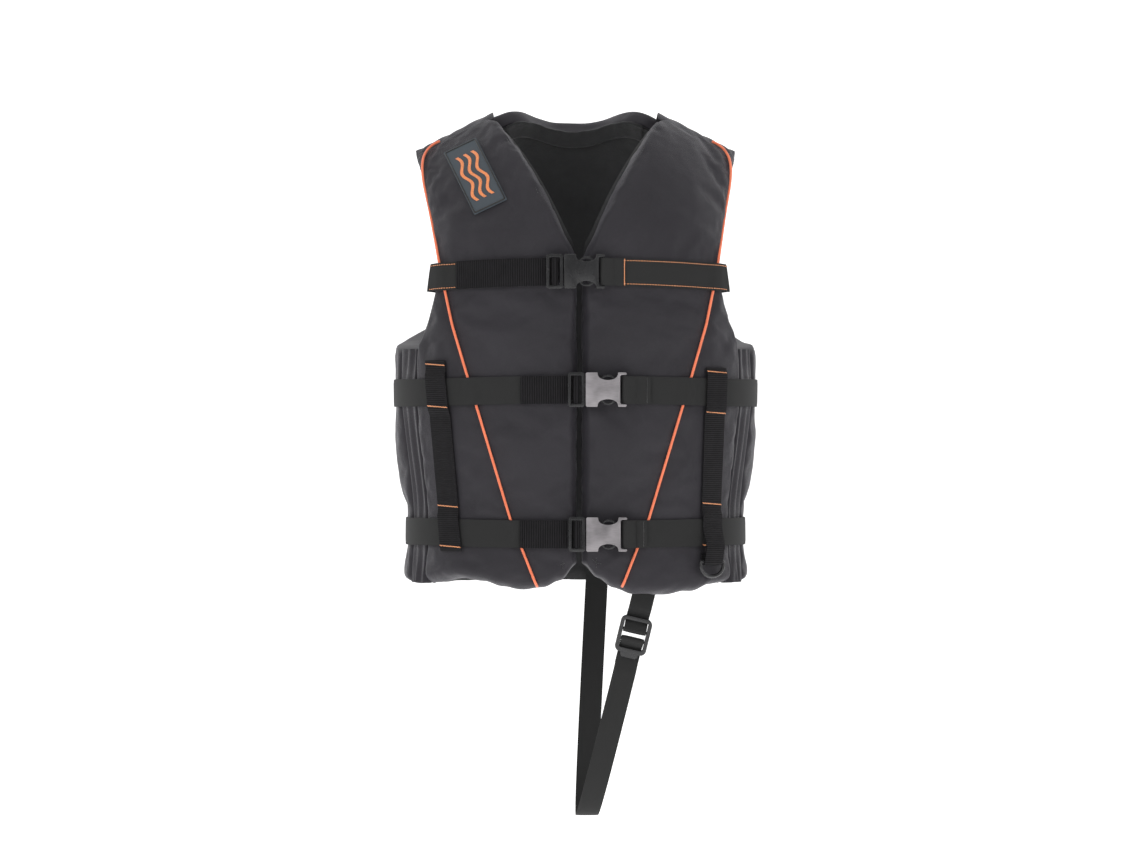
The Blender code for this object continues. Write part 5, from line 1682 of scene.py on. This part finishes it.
def add_camera(looks):
    data = bpy.data.cameras.new("camera")
    camera = bpy.data.objects.new("camera", data)
    turn = radians(looks.camera_turn)
    target = Vector((looks.camera_aim, 0.0, looks.camera_level))
    camera.location = target + Vector((sin(turn), -cos(turn), 0.0)) * looks.camera_distance
    camera.rotation_euler = (target - camera.location).to_track_quat("-Z", "Y").to_euler()
    data.sensor_width = SENSOR_WIDTH
    data.lens = SENSOR_WIDTH * (looks.camera_distance - CHEST_DEPTH) / looks.view_width
    data.clip_end = 100.0
    bpy.context.scene.collection.objects.link(camera)
    bpy.context.scene.camera = camera


def build_stage(looks):
    """Pale floor running up into a pale backdrop, soft lights and the camera."""
    mesh = backdrop_mesh(looks.floor_level)
    mesh.materials.append(paper_material(looks))
    item = bpy.data.objects.new("backdrop", mesh)
    bpy.context.scene.collection.objects.link(item)
    add_lights(looks)
    add_camera(looks)
    bpy.context.scene.view_settings.view_transform = "Standard"


# ---------------------------------------------------------------- settings, operators and panel
def colour_setting(name, default):
    return FloatVectorProperty(name=name, description=name + ", as linear red, green and blue",
                               subtype="COLOR", size=3, min=0.0, max=1.0, default=default)


class VestLooks(bpy.types.PropertyGroup):
    """Sizes and colours that a user would change."""
    shell_colour: colour_setting("Shell colour", (0.0225, 0.0205, 0.0250))
    lining_colour: colour_setting("Lining colour", (0.012, 0.012, 0.013))
    webbing_colour: colour_setting("Webbing colour", (0.0064, 0.0060, 0.0067))
    plastic_colour: colour_setting("Buckle colour", (0.014, 0.014, 0.015))
    # the plate colour is a painted reflection of the lights on the socket fronts
    plate_reflection_colour: colour_setting("Buckle plate colour", (0.250, 0.235, 0.245))
    piping_colour: colour_setting("Piping colour", (0.870, 0.195, 0.085))
    thread_colour: colour_setting("Thread colour", (0.900, 0.350, 0.140))
    rubber_colour: colour_setting("Patch colour", (0.0400, 0.0390, 0.0440))
    shell_thread: FloatProperty(name="Shell thread", description="Distance between shell threads",
                                unit="LENGTH", default=0.0007, min=0.0001)
    rib_pitch: FloatProperty(name="Rib pitch", description="Distance between webbing ribs",
                             unit="LENGTH", default=0.0022, min=0.0005)
    stitch_pitch: FloatProperty(name="Stitch pitch", description="Distance between stitches",
                                unit="LENGTH", default=0.0031, min=0.001)
    puff: FloatProperty(name="Puff", description="Most that cloth may stand off its pattern",
                        unit="LENGTH", default=0.0060, min=0.0)
    edge_puff: FloatProperty(name="Edge puff", description="Most that cloth may move at a panel's edge",
                             unit="LENGTH", default=0.0012, min=0.0)
    pressure: FloatProperty(name="Pressure", description="How hard the padding pushes its cloth out",
                            default=4.0, min=0.0)
    slack: FloatProperty(name="Slack", description="Share by which the cloth is cut larger than the foam",
                         subtype="FACTOR", default=0.02, min=0.0, max=0.3)
    stiffness: FloatProperty(name="Stiffness", description="How hard the cloth is to bend",
                             default=1.5, min=0.0)
    frames: IntProperty(name="Frames", description="Steps that the cloth takes to settle",
                        default=20, min=2)
    floor_level: FloatProperty(name="Floor level", description="Height of the floor",
                               unit="LENGTH", default=-1.05)
    camera_turn: FloatProperty(name="Camera turn", description="Degrees round from straight ahead",
                               default=-1.9)
    camera_aim: FloatProperty(name="Camera aim", description="Place across that the camera looks at",
                              unit="LENGTH", default=-0.0060)
    camera_level: FloatProperty(name="Camera level", description="Height that the camera looks at",
                                unit="LENGTH", default=-0.327)
    camera_distance: FloatProperty(name="Camera distance", description="Distance to the vest's middle",
                                   unit="LENGTH", default=7.0, min=1.0)
    view_width: FloatProperty(name="View width", description="Width seen at the chest",
                              unit="LENGTH", default=1.254, min=0.1)
    world_light: FloatProperty(name="World light", description="Strength of the even light all round",
                               default=0.34, min=0.0)
    backdrop_glow: FloatProperty(name="Backdrop glow", description="Light that the backdrop gives itself",
                                 default=0.70, min=0.0)


def build_shell(looks):
    build_panels(looks)
    build_linings(looks)
    build_gussets(looks)
    build_yokes(looks)
    build_facing(looks)


def build_webbing(looks):
    build_belts(looks)
    build_tails(looks)
    build_uprights(looks)


def build_buckles(looks):
    for belt in BELT_Z:
        build_buckle(belt, looks)


def build_strap_group(looks):
    build_ring(looks)
    build_lock(looks)
    build_crotch_strap(looks)


def build_trim(looks):
    build_piping(looks)
    build_patch(looks)


def build_stitching(looks):
    build_belt_stitching(looks)
    build_upright_tacks(looks)
    build_edge_stitching(looks)


def operator(name, label, words, build):
    """An operator that runs one builder with the scene's settings."""
    def execute(self, context):
        build(context.scene.vest_looks)
        return {"FINISHED"}

    return type("VEST_OT_" + name, (bpy.types.Operator,), {
        "__doc__": words, "bl_idname": "vest." + name, "bl_label": label, "execute": execute,
    })


OPERATORS = (
    operator("shell", "Panels and cloth", "Padded panels, linings, gussets, yokes and facing", build_shell),
    operator("webbing", "Webbing", "Belts, their free ends and the upright webbing", build_webbing),
    operator("buckles", "Buckles", "Three side-release buckles", build_buckles),
    operator("strap", "Ring and crotch strap", "D ring, ladder lock and crotch strap", build_strap_group),
    operator("trim", "Trim", "Piping and the shoulder patch", build_trim),
    operator("stitching", "Stitching", "Edge stitches and bar tacks", build_stitching),
    operator("stage", "Stage", "Backdrop, lights and camera", build_stage),
)


class VEST_PT_panel(bpy.types.Panel):
    """Sidebar panel that lists the vest's settings and steps."""
    bl_idname = "VEST_PT_panel"
    bl_label = "Buoyancy vest"
    bl_space_type = "VIEW_3D"
    bl_region_type = "UI"
    bl_category = "Vest"

    def draw(self, context):
        looks = context.scene.vest_looks
        for name in VestLooks.__annotations__:
            self.layout.prop(looks, name)
        for item in OPERATORS:
            self.layout.operator(item.bl_idname)


CLASSES = (VestLooks, *OPERATORS, VEST_PT_panel)


def register():
    for item in CLASSES:
        bpy.utils.register_class(item)
    bpy.types.Scene.vest_looks = PointerProperty(type=VestLooks)


def unregister():
    del bpy.types.Scene.vest_looks
    for item in reversed(CLASSES):
        bpy.utils.unregister_class(item)


def main():
    register()
    for item in OPERATORS:
        getattr(bpy.ops.vest, item.bl_idname.split(".")[1])()


if __name__ == "__main__":
    main()
